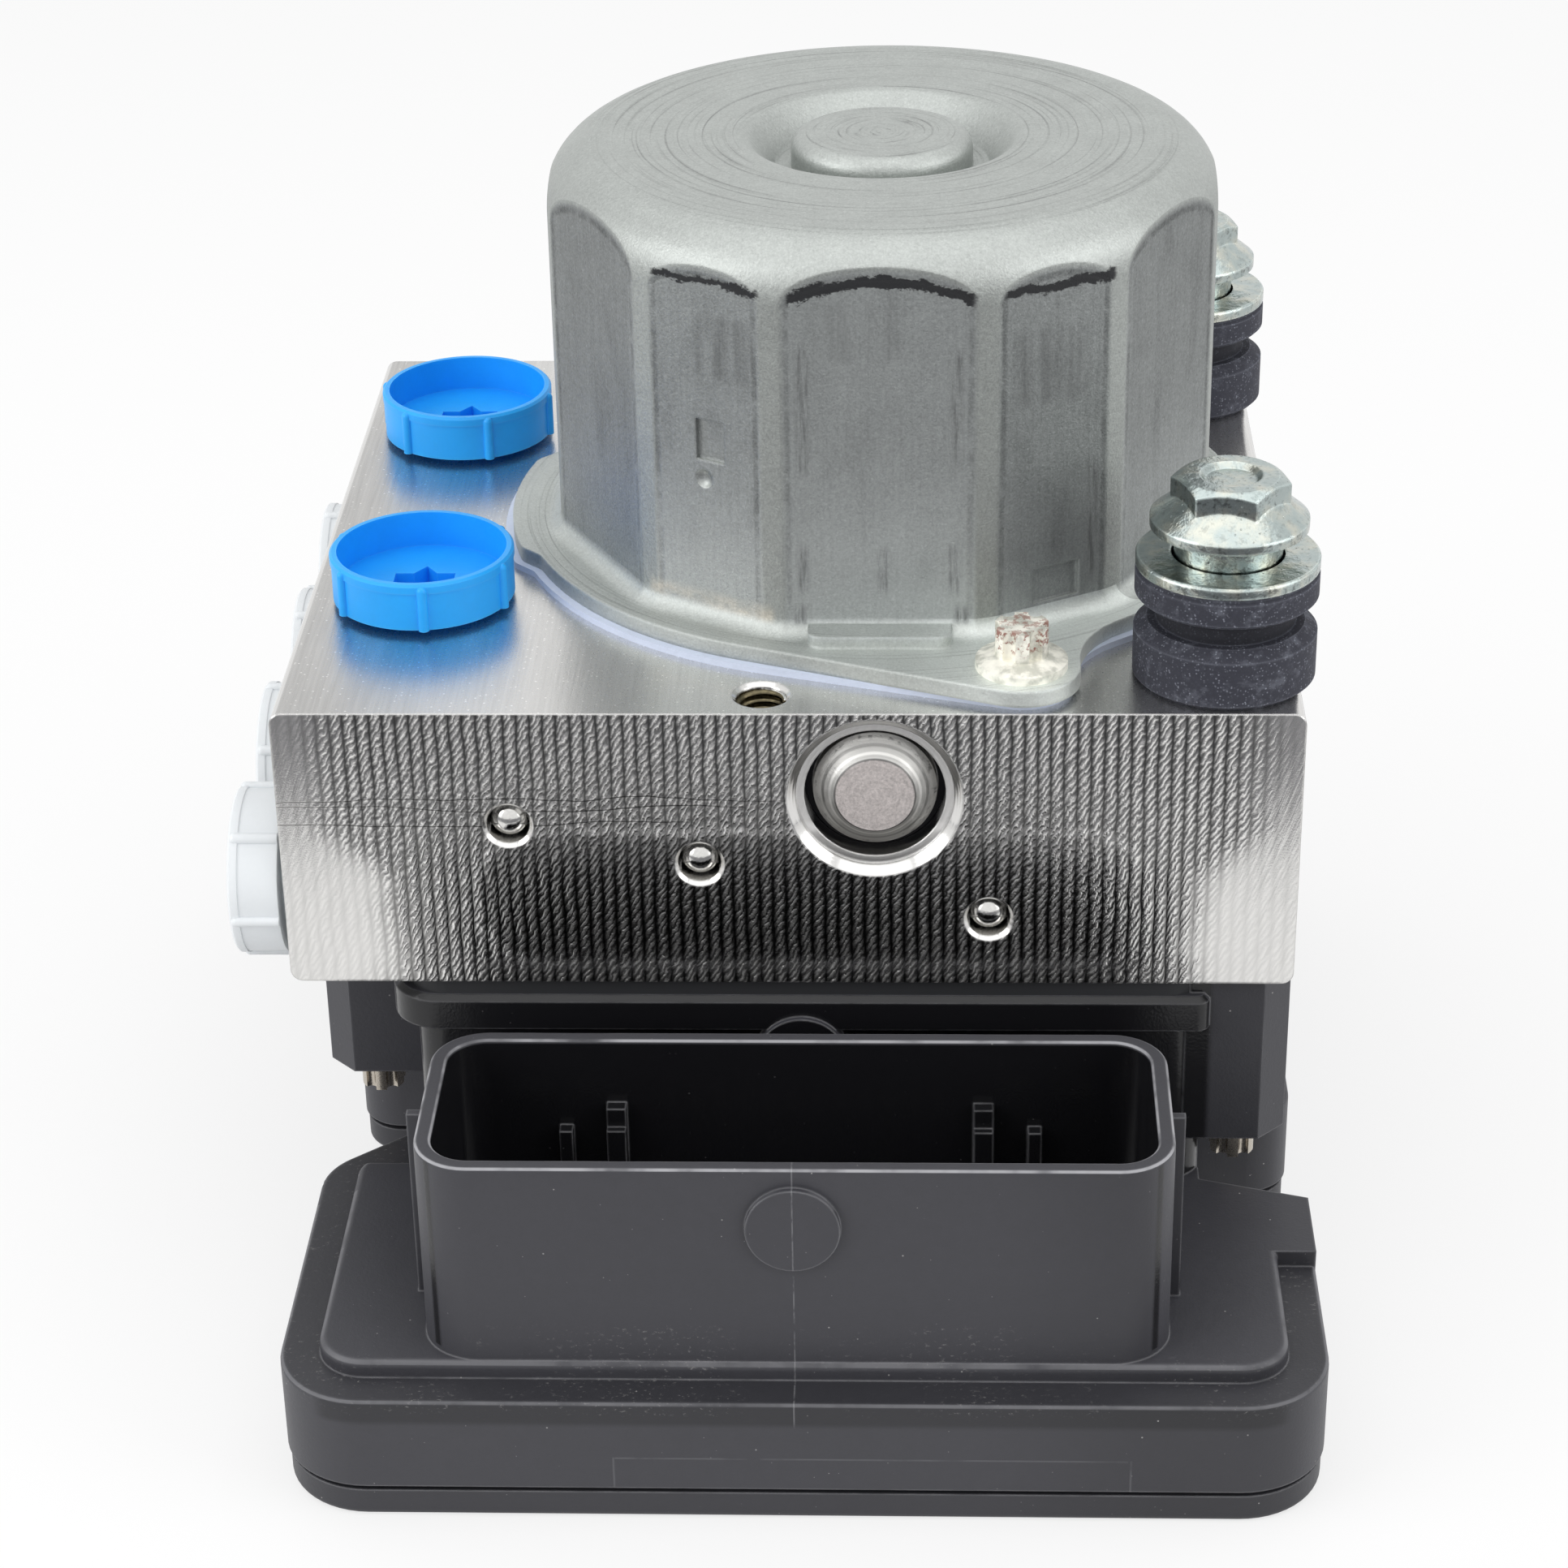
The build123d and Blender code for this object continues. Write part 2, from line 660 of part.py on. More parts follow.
def make_motor_end_plate():
    """Steel plate that closes the can and centres the motor in the block."""
    bore_radius = lower_bearing_radius + thread_clearance
    plate_radius = can_inner_radius - thread_clearance
    plate_top = gasket_thickness + end_plate_thickness
    plate = turned(((bore_radius, -spigot_depth), (spigot_radius, -spigot_depth),
                    (spigot_radius, gasket_thickness), (plate_radius, gasket_thickness),
                    (plate_radius, plate_top), (bore_radius, plate_top)))
    plate -= Pos(lead_x - motor_x, 0, 0) * Cylinder(lead_radius + thread_clearance, 30)
    return Pos(motor_x, 0, block_top) * plate


def bearing(outer_radius, inner_radius, width):
    """Sealed ball bearing as one ring with the shields' grooves."""
    rim = (outer_radius - inner_radius) * 0.28
    return turned(((inner_radius, 0), (inner_radius + rim, 0), (inner_radius + rim, 0.4),
                   (outer_radius - rim, 0.4), (outer_radius - rim, 0), (outer_radius, 0),
                   (outer_radius, width), (outer_radius - rim, width),
                   (outer_radius - rim, width - 0.4), (inner_radius + rim, width - 0.4),
                   (inner_radius + rim, width), (inner_radius, width)))


def make_lower_bearing():
    """Bearing in the end plate."""
    ring = bearing(lower_bearing_radius, shaft_radius + sliding_clearance, lower_bearing_width)
    return Pos(motor_x, 0, block_top - spigot_depth) * ring


def make_upper_bearing():
    """Bearing in the can's boss."""
    boss_inside = can_top - recess_depth + boss_height - can_wall
    ring = bearing(upper_bearing_radius - thread_clearance, shaft_top_radius + sliding_clearance,
                   upper_bearing_width)
    return Pos(motor_x, 0, boss_inside - upper_bearing_width) * ring


def make_nose_bearing():
    """Plain bush that steadies the shaft's nose below the eccentric."""
    low = block_top - nose_bore_depth
    height = nose_bore_depth - eccentric_chamber_depth
    bush = turned(((shaft_radius + sliding_clearance, 0), (nose_bore_radius - thread_clearance, 0),
                   (nose_bore_radius - thread_clearance, height),
                   (shaft_radius + sliding_clearance, height)))
    return Pos(motor_x, 0, low) * bush


def make_magnets():
    """Four arc magnets bonded inside the can."""
    outer = can_inner_radius - thread_clearance
    inner = outer - magnet_thickness
    ring = Cylinder(outer, magnet_height, align=SEATED) - Cylinder(inner, magnet_height, align=SEATED)
    gap = 90 - magnet_span
    for i in range(4):
        wedge = Polyline((0, 0), (2 * outer * cos(radians(gap / 2)), 2 * outer * sin(radians(gap / 2))),
                         (2 * outer * cos(radians(gap / 2)), -2 * outer * sin(radians(gap / 2))),
                         close=True)
        ring -= Rot(0, 0, 90 * i) * extrude(make_face(wedge), amount=magnet_height)
    low = brush_top() + touch_gap
    return group(Pos(motor_x, 0, low) * solid for solid in ring.solids())


def brush_top():
    """Height of the brush holder's top face."""
    return block_top + gasket_thickness + end_plate_thickness + brush_holder_height


def make_brush_holder():
    """Moulded ring on the end plate that carries the brushes."""
    low = brush_top() - brush_holder_height
    outer = can_inner_radius - 0.3
    web = brush_floor + 1.0
    ring = turned(((brush_holder_bore, 0), (outer, 0), (outer, web), (brush_reach - 1, web),
                   (brush_reach - 1, brush_holder_height), (brush_holder_bore, brush_holder_height)))
    ring += (Cylinder(outer, brush_holder_height, align=SEATED)
             - Cylinder(outer - brush_holder_rim, brush_holder_height, align=SEATED))
    ring -= Pos(0, 0, brush_floor) * Box(brush_width + 2 * touch_gap, 2 * brush_reach,
                                         brush_holder_height, align=SEATED)
    ring -= Pos(lead_x - motor_x, 0, 0) * Cylinder(lead_radius + thread_clearance,
                                                   2 * (lead_rise + touch_gap))
    return Pos(motor_x, 0, low) * ring


def make_brushes():
    """Two carbon brushes against the commutator."""
    low = brush_top() - brush_holder_height + brush_floor
    brushes = []
    for turn in (90, 270):
        brush = Box(brush_reach - touch_gap, brush_width, brush_height,
                    align=(Align.MIN, Align.CENTER, Align.MIN))
        brush -= Cylinder(commutator_radius + touch_gap, 3 * brush_height)
        brushes.append(Pos(motor_x, 0, low) * Rot(0, 0, turn) * brush)
    return group(brushes)


# ---------------------------------------------------------------- rotor
def armature_base():
    """Height of the lamination stack's underside."""
    return brush_top() + winding_height + 1.5


def make_rotor_shaft():
    """Motor shaft with the pump's eccentric turned below the bearing."""
    nose = pump_height - eccentric_length / 2
    top = can_top - recess_depth + boss_height - can_wall - touch_gap
    low = block_top - nose_bore_depth + touch_gap
    shoulder = armature_base() + armature_height + winding_height
    shaft = turned(((0, low), (shaft_radius - 0.8, low), (shaft_radius, low + 0.8),
                    (shaft_radius, shoulder), (shaft_top_radius, shoulder),
                    (shaft_top_radius, top), (0, top)))
    eccentric = Pos(eccentric_throw, 0, nose) * Cylinder(eccentric_radius, eccentric_length,
                                                         align=SEATED)
    return Pos(motor_x, 0, 0) * (shaft + eccentric)


def make_eccentric_ring():
    """Needle bearing ring on the eccentric, against which both pistons run."""
    inner = eccentric_radius + thread_clearance
    ring = turned(((inner, 0), (ring_radius, 0), (ring_radius, eccentric_length),
                   (inner, eccentric_length)))
    return Pos(motor_x + eccentric_throw, 0, pump_height - eccentric_length / 2) * ring


def make_armature_core():
    """Slotted lamination stack."""
    radius = can_inner_radius - thread_clearance - magnet_thickness - air_gap
    core = (Cylinder(radius, armature_height, align=SEATED)
            - Cylinder(shaft_radius + thread_clearance, armature_height, align=SEATED))
    slots = [Rot(0, 0, 360 / armature_slots * i) * Pos(radius - slot_depth, 0, 0)
             * Box(slot_depth + 2, slot_width, armature_height,
                   align=(Align.MIN, Align.CENTER, Align.MIN)) for i in range(armature_slots)]
    return Pos(motor_x, 0, armature_base()) * (core - slots)


def make_armature_windings():
    """Copper windings: one bar through each slot and an end turn at each side of the stack."""
    radius = can_inner_radius - thread_clearance - magnet_thickness - air_gap
    bar_low = radius - slot_depth + touch_gap
    bar_high = radius - 1.5
    end_turn = (Cylinder(bar_high, winding_height, align=SEATED)
                - Cylinder(winding_inner_radius, winding_height, align=SEATED))
    end_turn = fillet(end_turn.edges().group_by(Axis.Z)[-1], 1.5)
    lower_turn = mirror(end_turn, Plane.XY)
    bars = [Rot(0, 0, 360 / armature_slots * i) * Pos(bar_low, 0, 0)
            * Box(bar_high - bar_low, slot_width - 2 * touch_gap, armature_height,
                  align=(Align.MIN, Align.CENTER, Align.MIN)) for i in range(armature_slots)]
    coil = lower_turn + bars + (Pos(0, 0, armature_height) * end_turn)
    return Pos(motor_x, 0, armature_base()) * coil


def make_commutator():
    """Copper commutator on the shaft."""
    low = armature_base() - winding_height - commutator_height - 0.3
    ring = turned(((shaft_radius + thread_clearance, 0), (commutator_radius, 0),
                   (commutator_radius, commutator_height + winding_height),
                   (shaft_radius + thread_clearance, commutator_height + winding_height)))
    return Pos(motor_x, 0, low) * ring


# ---------------------------------------------------------------- pump
def pump_ends():
    """Planes at the two ends of the pump bore, Z pointing into the block."""
    return [Plane(origin=(pump_x, front_face, pump_height), x_dir=(1, 0, 0), z_dir=BACKWARD),
            Plane(origin=(pump_x, rear_face, pump_height), x_dir=(1, 0, 0), z_dir=FORWARD)]


def make_pump_plugs():
    """Closing plugs: a flat centre on a shallow cone inside a groove."""
    cone_low = plug_face_depth + plug_cone_height
    groove = cone_low + plug_groove_depth
    outer = plug_bore_radius - thread_clearance
    plug = turned(((0, plug_face_depth), (plug_face_radius, plug_face_depth),
                   (plug_cone_radius, cone_low), (plug_cone_radius, groove), (outer, groove),
                   (outer, plug_end), (0, plug_end)))
    return group(plane * plug for plane in pump_ends())


def make_pump_cylinders():
    """Cup-shaped cylinders, closed at their outer ends."""
    end = plug_end + cylinder_length
    floor = plug_end + cylinder_cap
    cup = turned(((0, plug_end), (cylinder_radius, plug_end), (cylinder_radius, end),
                  (piston_radius + sliding_clearance, end),
                  (piston_radius + sliding_clearance, floor), (0, floor)))
    return group(plane * cup for plane in pump_ends())


def make_pump_pistons():
    """Plain pistons at the outer end of their stroke, just clear of the eccentric's ring."""
    piston = turned(((0, piston_end - piston_length), (piston_radius, piston_end - piston_length),
                     (piston_radius, piston_end), (0, piston_end)))
    return group(plane * piston for plane in pump_ends())


def coil_spring(radius, wire, low, high, turns):
    """Helical spring along Z with its ends just clear of the pieces that it pushes apart."""
    length = high - low - 2 * (wire + touch_gap)
    path = Helix(pitch=length / turns, height=length, radius=radius)
    section = Plane(origin=path @ 0, z_dir=path % 0) * Circle(wire)
    return Pos(0, 0, low + wire + touch_gap) * sweep(section, path=path, is_frenet=True)


def make_pump_springs():
    """Return springs behind the pistons."""
    spring = coil_spring(piston_radius - pump_spring_wire - 0.4, pump_spring_wire / 2,
                         plug_end + cylinder_cap, piston_end - piston_length, pump_spring_turns)
    return group(plane * spring for plane in pump_ends())


def make_ball_plugs():
    """Steel balls pressed into the ends of the drilled passages."""
    balls = []
    for face_y, sign, spots in ((front_face, 1, front_ball_spots), (rear_face, -1, rear_ball_spots)):
        for x, drop in spots:
            y = face_y + sign * (ball_radius + ball_sink)
            balls.append(Pos(x, y, block_top - drop) * Sphere(ball_radius))
    return group(balls)


# ---------------------------------------------------------------- travelling caps
def port_cap(radius, bore_radius, rib_turn, standoff):
    """Thin cup on a stub that closes a port; Z points out of the port, 0 is the block's face."""
    rim = standoff + cap_height
    floor = standoff + cap_floor
    cup = turned(((0, standoff), (radius, standoff), (radius, rim - cap_lip_height),
                  (radius + cap_lip_proud, rim - cap_lip_height), (radius + cap_lip_proud, rim - 0.3),
                  (radius + cap_lip_proud - 0.3, rim), (radius - cap_wall, rim),
                  (radius - cap_wall, floor), (0, floor)))
    ribs = []
    for i in range(cap_ribs):
        turn = radians(360 / cap_ribs * i + rib_turn)
        spot = Pos(radius * cos(turn), radius * sin(turn), standoff)
        column = Cylinder(cap_rib_radius, cap_height - cap_rib_radius - 0.2, align=SEATED)
        tip = Pos(0, 0, cap_height - cap_rib_radius - 0.2) * Sphere(cap_rib_radius)
        ribs.append(spot * (column + tip))
    cavity = Pos(0, 0, floor) * Cylinder(radius - cap_wall, cap_height, align=SEATED)
    cup = cup + [rib - cavity for rib in ribs]
    collar = Cylinder(bore_radius + port_chamfer + 1.2, standoff, align=SEATED)
    stub = turned(((0, -cap_stub_length), (bore_radius - 0.9, -cap_stub_length),
                   (bore_radius - thread_clearance, -cap_stub_length + 0.9),
                   (bore_radius - thread_clearance, standoff), (0, standoff)))
    star = make_face(Polyline((0, cap_slot_peak), (cap_slot_peak_base, 0), (0, -cap_slot_peak),
                              (-cap_slot_peak_base, 0), close=True))
    slot = Rectangle(cap_slot_length, cap_slot_width) + star
    recess = Pos(0, 0, floor - cap_slot_depth) * extrude(slot, amount=cap_slot_depth + 1)
    return cup + collar + stub - recess


def inlet_cap(i):
    """Cap on a master-cylinder port, on the block's top face."""
    return Pos(inlet_port_x, inlet_port_ys[i], block_top) * port_cap(
        inlet_cap_radius, inlet_bore_radius, inlet_cap_turns[i], cap_standoff)


def outlet_cap(i):
    """Cap on a wheel-brake port, on the block's left face."""
    face = Plane(origin=(left_face, outlet_port_ys[i], outlet_port_height), x_dir=UP,
                 z_dir=LEFTWARD)
    return face * port_cap(outlet_cap_radius, outlet_bore_radius, outlet_cap_turns[i],
                           outlet_cap_standoffs[i])


# ---------------------------------------------------------------- rubber mountings
def make_isolators():
    """Rubber spools: a base barrel, a slotted neck for the bracket's plate and an upper disc."""
    inner = sleeve_radius + touch_gap
    slot = rubber_base_height
    disc = slot + rubber_slot_height
    top = disc + rubber_disc_height
    bead = rubber_bead
    spool = turned(((inner, 0), (rubber_radius - 0.5, 0), (rubber_radius, 0.5),
                    (rubber_radius, slot - rubber_base_chamfer * 0.8),
                    (rubber_radius - rubber_base_chamfer, slot), (rubber_neck_radius, slot),
                    (rubber_neck_radius, disc), (rubber_radius - 0.4, disc),
                    (rubber_radius, disc + 0.4), (rubber_radius, top - 2 * bead),
                    (rubber_radius - bead, top - bead), (rubber_radius - bead, top), (inner, top)))
    return group(Pos(mount_x, y, block_top) * spool for y in mount_ys)


def make_isolator_sleeves():
    """Steel distance sleeves inside the rubber."""
    tube = (Cylinder(sleeve_radius, sleeve_height, align=SEATED)
            - Cylinder(sleeve_radius - sleeve_wall, sleeve_height, align=SEATED))
    return group(Pos(mount_x, y, block_top) * tube for y in mount_ys)


def make_isolator_washers():
    """Plain washers on top of the rubber."""
    low = rubber_base_height + rubber_slot_height + rubber_disc_height
    ring = (Cylinder(washer_radius, washer_thickness, align=SEATED)
            - Cylinder(sleeve_radius + 0.3, washer_thickness, align=SEATED))
    ring = chamfer(ring.edges().group_by(Axis.Z)[-1].sort_by(SortBy.RADIUS)[-1], 0.2)
    return group(Pos(mount_x, y, block_top + low) * ring for y in mount_ys)


def make_mounting_bolts():
    """Hexagon flange bolts through the sleeves."""
    seat = sleeve_height
    cone_top = mount_flange_edge + mount_flange_cone
    flats = mount_hex_across_flats
    head_top = cone_top + mount_hex_height
    shank = turned(((0, -seat - mount_bolt_engagement), (mount_bolt_radius, -seat
                    - mount_bolt_engagement), (mount_bolt_radius, 0), (mount_flange_radius, 0),
                    (mount_flange_radius, mount_flange_edge), (flats / 2, cone_top), (0, cone_top)))
    hexagon = extrude(Rot(0, 0, mount_hex_turn) * RegularPolygon(flats / 2, 6, major_radius=False),
                      amount=head_top)
    crown_low = head_top - (flats - mount_hex_crown) * mount_hex_crown_slope
    crown = turned(((0, 0), (flats, 0), (flats, crown_low), (mount_hex_crown, head_top),
                    (0, head_top)))
    dish = Pos(0, 0, head_top - mount_head_dimple_depth) * Cone(
        mount_head_dimple - mount_head_dimple_depth, mount_head_dimple, mount_head_dimple_depth,
        align=SEATED)
    bolt = shank + (hexagon & crown) - dish
    return group(Pos(mount_x, y, block_top + seat) * bolt for y in mount_ys)


# ---------------------------------------------------------------- control unit
def post_spots():
    """Axes of the four screws that hold the control unit to the block."""
    return ([(left_post_x, y) for y in left_post_ys] + [(right_post_x, y) for y in right_post_ys])


def tray_outline():
    """Plan of the circuit board's tray, with a notch below each screw for the driver."""
    outline = rectangle(tray_left, tray_right, tray_front, tray_back)
    front = outline.vertices().group_by(Axis.Y)[0]
    outline = fillet(front, tray_front_round)
    back = outline.vertices().group_by(Axis.Y)[-1]
    outline = fillet(back, tray_back_round)
    notches = []
    for i, (x, y) in enumerate(post_spots()):
        left = x < 0
        edge = tray_left - 5 if left else tray_right + 5
        wall = chamber_left if left else chamber_right
        near = y - (front_notch_clear if i == 0 else notch_clear)
        far = y + notch_far
        flare = front_notch_flare if i == 0 else notch_flare
        rim = tray_left if left else tray_right
        notches.append(make_face(Polyline((wall, near), (rim, near - flare), (edge, near - flare),
                                          (edge, far), (wall, far), close=True)))
    outline -= notches
    lobes = [v for v in outline.vertices()
             if min(abs(v.X - tray_left), abs(v.X - tray_right)) < 0.1
             and any(abs(v.Y - y - notch_far) < 0.1 for _, y in post_spots())]
    outline = fillet(lobes, lobe_round)
    x, y = post_spots()[0]
    corner = (tray_left, y - front_notch_clear - front_notch_flare, 0)
    return fillet(outline.vertices().sort_by_distance(corner)[0], front_notch_round)


def plateau_outline(tray):
    """Raised step round the connector, carried out to the tray's right edge by a tab."""
    back = chamber_front + chamber_wall
    inner = offset(tray, -plateau_inset, kind=Kind.INTERSECTION)
    step = inner & rectangle(tray_left, tray_right, tray_front, back)
    behind = rectangle(shroud_x, tray_right - plateau_inset, shroud_y, back)
    tab = rectangle(shroud_x, tray_right, plateau_tab_front, back)
    return step + ((behind + tab) & tray)


def post(x, y):
    """Screw post with chamfered outer corners, joined to the chamber's wall."""
    side = -1 if x < 0 else 1
    wall = chamber_left + chamber_wall if x < 0 else chamber_right - chamber_wall
    outer = x + side * post_half_width
    plan = rectangle(min(wall, outer), max(wall, outer), y - post_half_width, y + post_half_width)
    corners = [v for v in plan.vertices() if abs(v.X - outer) < 0.1]
    return chamfer(corners, post_chamfer)


def connector_pin_spots():
    """Centres of the signal pins and of the wide power blades."""
    signals = [(shroud_x + pin_pitch * (c - (pin_columns - 1) / 2),
                shroud_y + pin_row_pitch * (r - (pin_rows - 1) / 2))
               for c in range(pin_columns) for r in range(pin_rows)]
    blades = [(shroud_x + dx, shroud_y) for dx in blade_offsets]
    return signals, blades


def make_ecu_housing():
    """Moulded housing: board tray, coil chamber with its rim, screw posts and connector shroud."""
    tray = tray_outline()
    body = slab(tray, tray_bottom, tray_top)
    body = fillet(body.edges().group_by(Axis.Z)[-1], 0.6)
    plateau = slab(plateau_outline(tray), tray_top - tray_roof, plateau_top)
    front_edges = [edge for edge in plateau.edges().group_by(Axis.Z)[-1]
                   if edge.center().Y < shroud_y and edge.center().X < tray_right - plateau_inset / 2]
    body += fillet(front_edges, plateau_edge_round)

    chamber = rectangle(chamber_left, chamber_right, chamber_front, chamber_back, chamber_round)
    body += slab(chamber, tray_top - tray_roof, chamber_top)
    rim = rectangle(chamber_left - rim_left_proud, chamber_right + rim_right_proud,
                    chamber_front - rim_front_proud, chamber_back + rim_front_proud)
    rim = fillet(rim.vertices().group_by(Axis.X)[0], rim_round)
    rim = fillet(rim.vertices().group_by(Axis.X)[-1], rim_right_round)
    rim_body = slab(rim, chamber_top - rim_height, chamber_top)
    rim_body = chamfer(rim_body.edges().group_by(Axis.Z)[-1], rim_chamfer)
    body += rim_body
    for x, y in post_spots():
        body += slab(post(x, y), block_bottom - post_height, block_bottom)
    body -= slab(block_seal_outline(), chamber_top, block_bottom + cut_overshoot)

    # connector shroud, opening upwards
    shroud = Pos(shroud_x, shroud_y) * RectangleRounded(shroud_width, shroud_depth, shroud_round)
    hollow = Pos(shroud_x, shroud_y) * RectangleRounded(
        shroud_width - 2 * shroud_wall, shroud_depth - 2 * shroud_wall, shroud_round - shroud_wall)
    tube = slab(shroud, tray_top - tray_roof, shroud_top) - slab(hollow, shroud_floor_top,
                                                                 shroud_top + cut_overshoot)
    tube = fillet(tube.edges().group_by(Axis.Z)[-1], shroud_rim_round)
    body += tube
    inside_back = shroud_front + shroud_depth - shroud_wall
    for offset_x, width, drop in ((wide_key_offset, wide_key_width, wide_key_drop),
                                  (narrow_key_offset, narrow_key_width, narrow_key_drop)):
        for side in (-1, 1):
            x = shroud_x + side * offset_x
            key = rectangle(x - width / 2, x + width / 2, inside_back - key_depth,
                            inside_back + shroud_wall / 2)
            body += slab(key, shroud_floor_top - 0.5, shroud_top - drop)
    for side in (-1, 1):
        x = shroud_x + side * wide_key_offset
        step = rectangle(x - wide_key_width / 2, x + wide_key_width / 2,
                         inside_back - key_depth - key_step, inside_back - key_depth / 2)
        body += slab(step, shroud_floor_top - 0.5, shroud_top - wide_key_drop - key_step_drop)
    for side in (-1, 1):
        x = shroud_x + side * (shroud_width / 2 + rail_proud / 2 - 0.2)
        rail = rectangle(x - rail_proud / 2 - 0.2, x + rail_proud / 2, rail_y - rail_width / 2,
                         rail_y + rail_width / 2)
        body += slab(rail, plateau_top - 0.5, shroud_top - rail_drop)
    disc_height = shroud_top - gate_disc_drop
    body += rod(gate_disc_radius, (shroud_x, shroud_front + shroud_wall / 2, disc_height), FORWARD,
                shroud_wall / 2 + gate_disc_proud)
    body += rod(gate_disc_radius, (shroud_x, chamber_front + chamber_wall / 2, disc_height), FORWARD,
                chamber_wall / 2 + rim_front_proud + gate_disc_proud)

    # inside: coil chamber, board pocket with its ledge, screw holes and pin slots
    coil_room = rectangle(chamber_left + chamber_wall, chamber_right - chamber_wall,
                          chamber_front + chamber_wall, chamber_back - chamber_wall,
                          chamber_round - chamber_wall + 0.5)
    body -= slab(coil_room, tray_bottom - cut_overshoot, chamber_top + cut_overshoot)
    pocket = offset(tray, -tray_wall, kind=Kind.INTERSECTION)
    ledge = offset(tray, -tray_wall - 2.0, kind=Kind.INTERSECTION)
    board_top = tray_top - tray_roof - board_drop
    body -= slab(pocket, tray_bottom - cut_overshoot, board_top)
    body -= slab(ledge, tray_bottom - cut_overshoot, tray_top - tray_roof)
    for x, y in post_spots():
        body -= Pos(x, y, block_bottom - post_height - 5) * Cylinder(
            unit_screw_radius + 0.2, post_height + 10, align=SEATED)
    signals, blades = connector_pin_spots()
    signal_hole = pin_side + 2 * thread_clearance
    for x, y in signals:
        body -= Pos(x, y, board_top) * Box(signal_hole, signal_hole, shroud_floor_top, align=SEATED)
    for x, y in blades:
        body -= Pos(x, y, board_top) * Box(blade_width + 2 * thread_clearance,
                                           blade_thickness + 2 * thread_clearance,
                                           shroud_floor_top, align=SEATED)
    return body


def make_ecu_cover():
    """Flat lid below the board."""
    plate = slab(offset(tray_outline(), -cover_inset, kind=Kind.INTERSECTION), 0, cover_thickness)
    return fillet(plate.edges().group_by(Axis.Z)[0], cover_edge_round)


def make_cover_seal():
    """Seal bead between the lid and the tray, set back from the edge."""
    outer = offset(tray_outline(), -seal_inset, kind=Kind.INTERSECTION)
    inner = offset(tray_outline(), -seal_inset - seal_width, kind=Kind.INTERSECTION)
    return slab(outer - inner, cover_thickness, tray_bottom)


def block_seal_outline():
    """Outer outline of the seal on the chamber's rim."""
    return rectangle(chamber_left - block_seal_proud, chamber_right + rim_right_proud / 4,
                     chamber_front - block_seal_proud, chamber_back + block_seal_proud,
                     chamber_round + block_seal_proud)


def make_block_seal():
    """Seal between the chamber's rim and the block."""
    outer = block_seal_outline()
    inner = rectangle(chamber_left + chamber_wall, chamber_right - chamber_wall,
                      chamber_front + chamber_wall, chamber_back - chamber_wall, chamber_round - 1)
    return slab(outer - inner, chamber_top, block_bottom)


def make_ecu_screws():
    """Four flanged screws, heads down, from the posts into the block."""
    screw = star_screw(unit_screw_radius, post_height + unit_screw_engagement, unit_screw_flange,
                       unit_screw_flange_edge, unit_screw_star, unit_screw_head)
    return group(Pos(x, y, block_bottom - post_height) * Rot(180, 0, 0) * screw
                 for x, y in post_spots())


def board_surface():
    """Height of the circuit board's top face."""
    return tray_top - tray_roof - board_drop


def make_circuit_board():
    """Board against the tray's ledge, under the coils and the connector."""
    plan = offset(tray_outline(), -tray_wall - board_margin, kind=Kind.INTERSECTION)
    return slab(plan, board_surface() - board_thickness, board_surface())


def make_connector_pins():
    """Signal pins and power blades that rise from the board into the shroud."""
    signals, blades = connector_pin_spots()
    height = shroud_floor_top + pin_length - board_surface()
    pins = [Pos(x, y, board_surface()) * Box(pin_side, pin_side, height, align=SEATED)
            for x, y in signals]
    wide = [Pos(x, y, board_surface()) * Box(blade_width, blade_thickness, height, align=SEATED)
            for x, y in blades]
    return group(pins + wide)


def make_valve_cartridges():
    """Valve bodies staked into the block, each with a dome that reaches into its coil."""
    body = valve_bore_radius
    cartridge = turned(((0, -valve_dome_length), (valve_dome_radius, -valve_dome_length),
                        (valve_dome_radius, -2.0), (body - 1.0, 0), (body, 0),
                        (body, valve_bore_depth - touch_gap), (0, valve_bore_depth - touch_gap)),
                       (((valve_dome_radius, -valve_dome_length), 1.2),))
    return group(Pos(x, y, block_bottom) * cartridge for x, y in valve_spots)


def coil_low():
    """Height of the coils' lower faces."""
    return block_bottom - valve_dome_length + coil_end


def make_solenoid_coils():
    """Solenoid coils on the valve domes, with a pair of terminals down to the board."""
    ring = (Cylinder(coil_radius, coil_height, align=SEATED)
            - Cylinder(valve_dome_radius + sliding_clearance, coil_height, align=SEATED))
    drop = coil_low() - board_surface()
    for side in (-1, 1):
        ring += Pos(side * terminal_spacing, 0, -drop) * Box(terminal_side, terminal_side, drop + 1,
                                                             align=SEATED)
    return group(Pos(x, y, coil_low()) * ring for x, y in valve_spots)


def make_pressure_sensor():
    """Pressure sensor screwed into the block, ending at the board."""
    reach = block_bottom - board_surface()
    sensor = turned(((0, -reach), (sensor_body_radius - 2, -reach), (sensor_body_radius - 2, -12),
                     (sensor_body_radius, -12), (sensor_body_radius, 0), (sensor_radius, 0),
                     (sensor_radius, sensor_depth - touch_gap), (0, sensor_depth - touch_gap)))
    return Pos(sensor_x, sensor_y, block_bottom) * sensor


def make_motor_lead():
    """Insulated pair of motor contacts through the block to the board."""
    low = board_surface()
    top = brush_top() - brush_holder_height + lead_rise
    body = Pos(lead_x, 0, low + 6) * Cylinder(lead_radius, top - low - 6, align=SEATED)
    for side in (-1, 1):
        body += Pos(lead_x, side * lead_pin_spacing / 2, low) * Cylinder(lead_pin_radius, 7,
                                                                         align=SEATED)
    return body


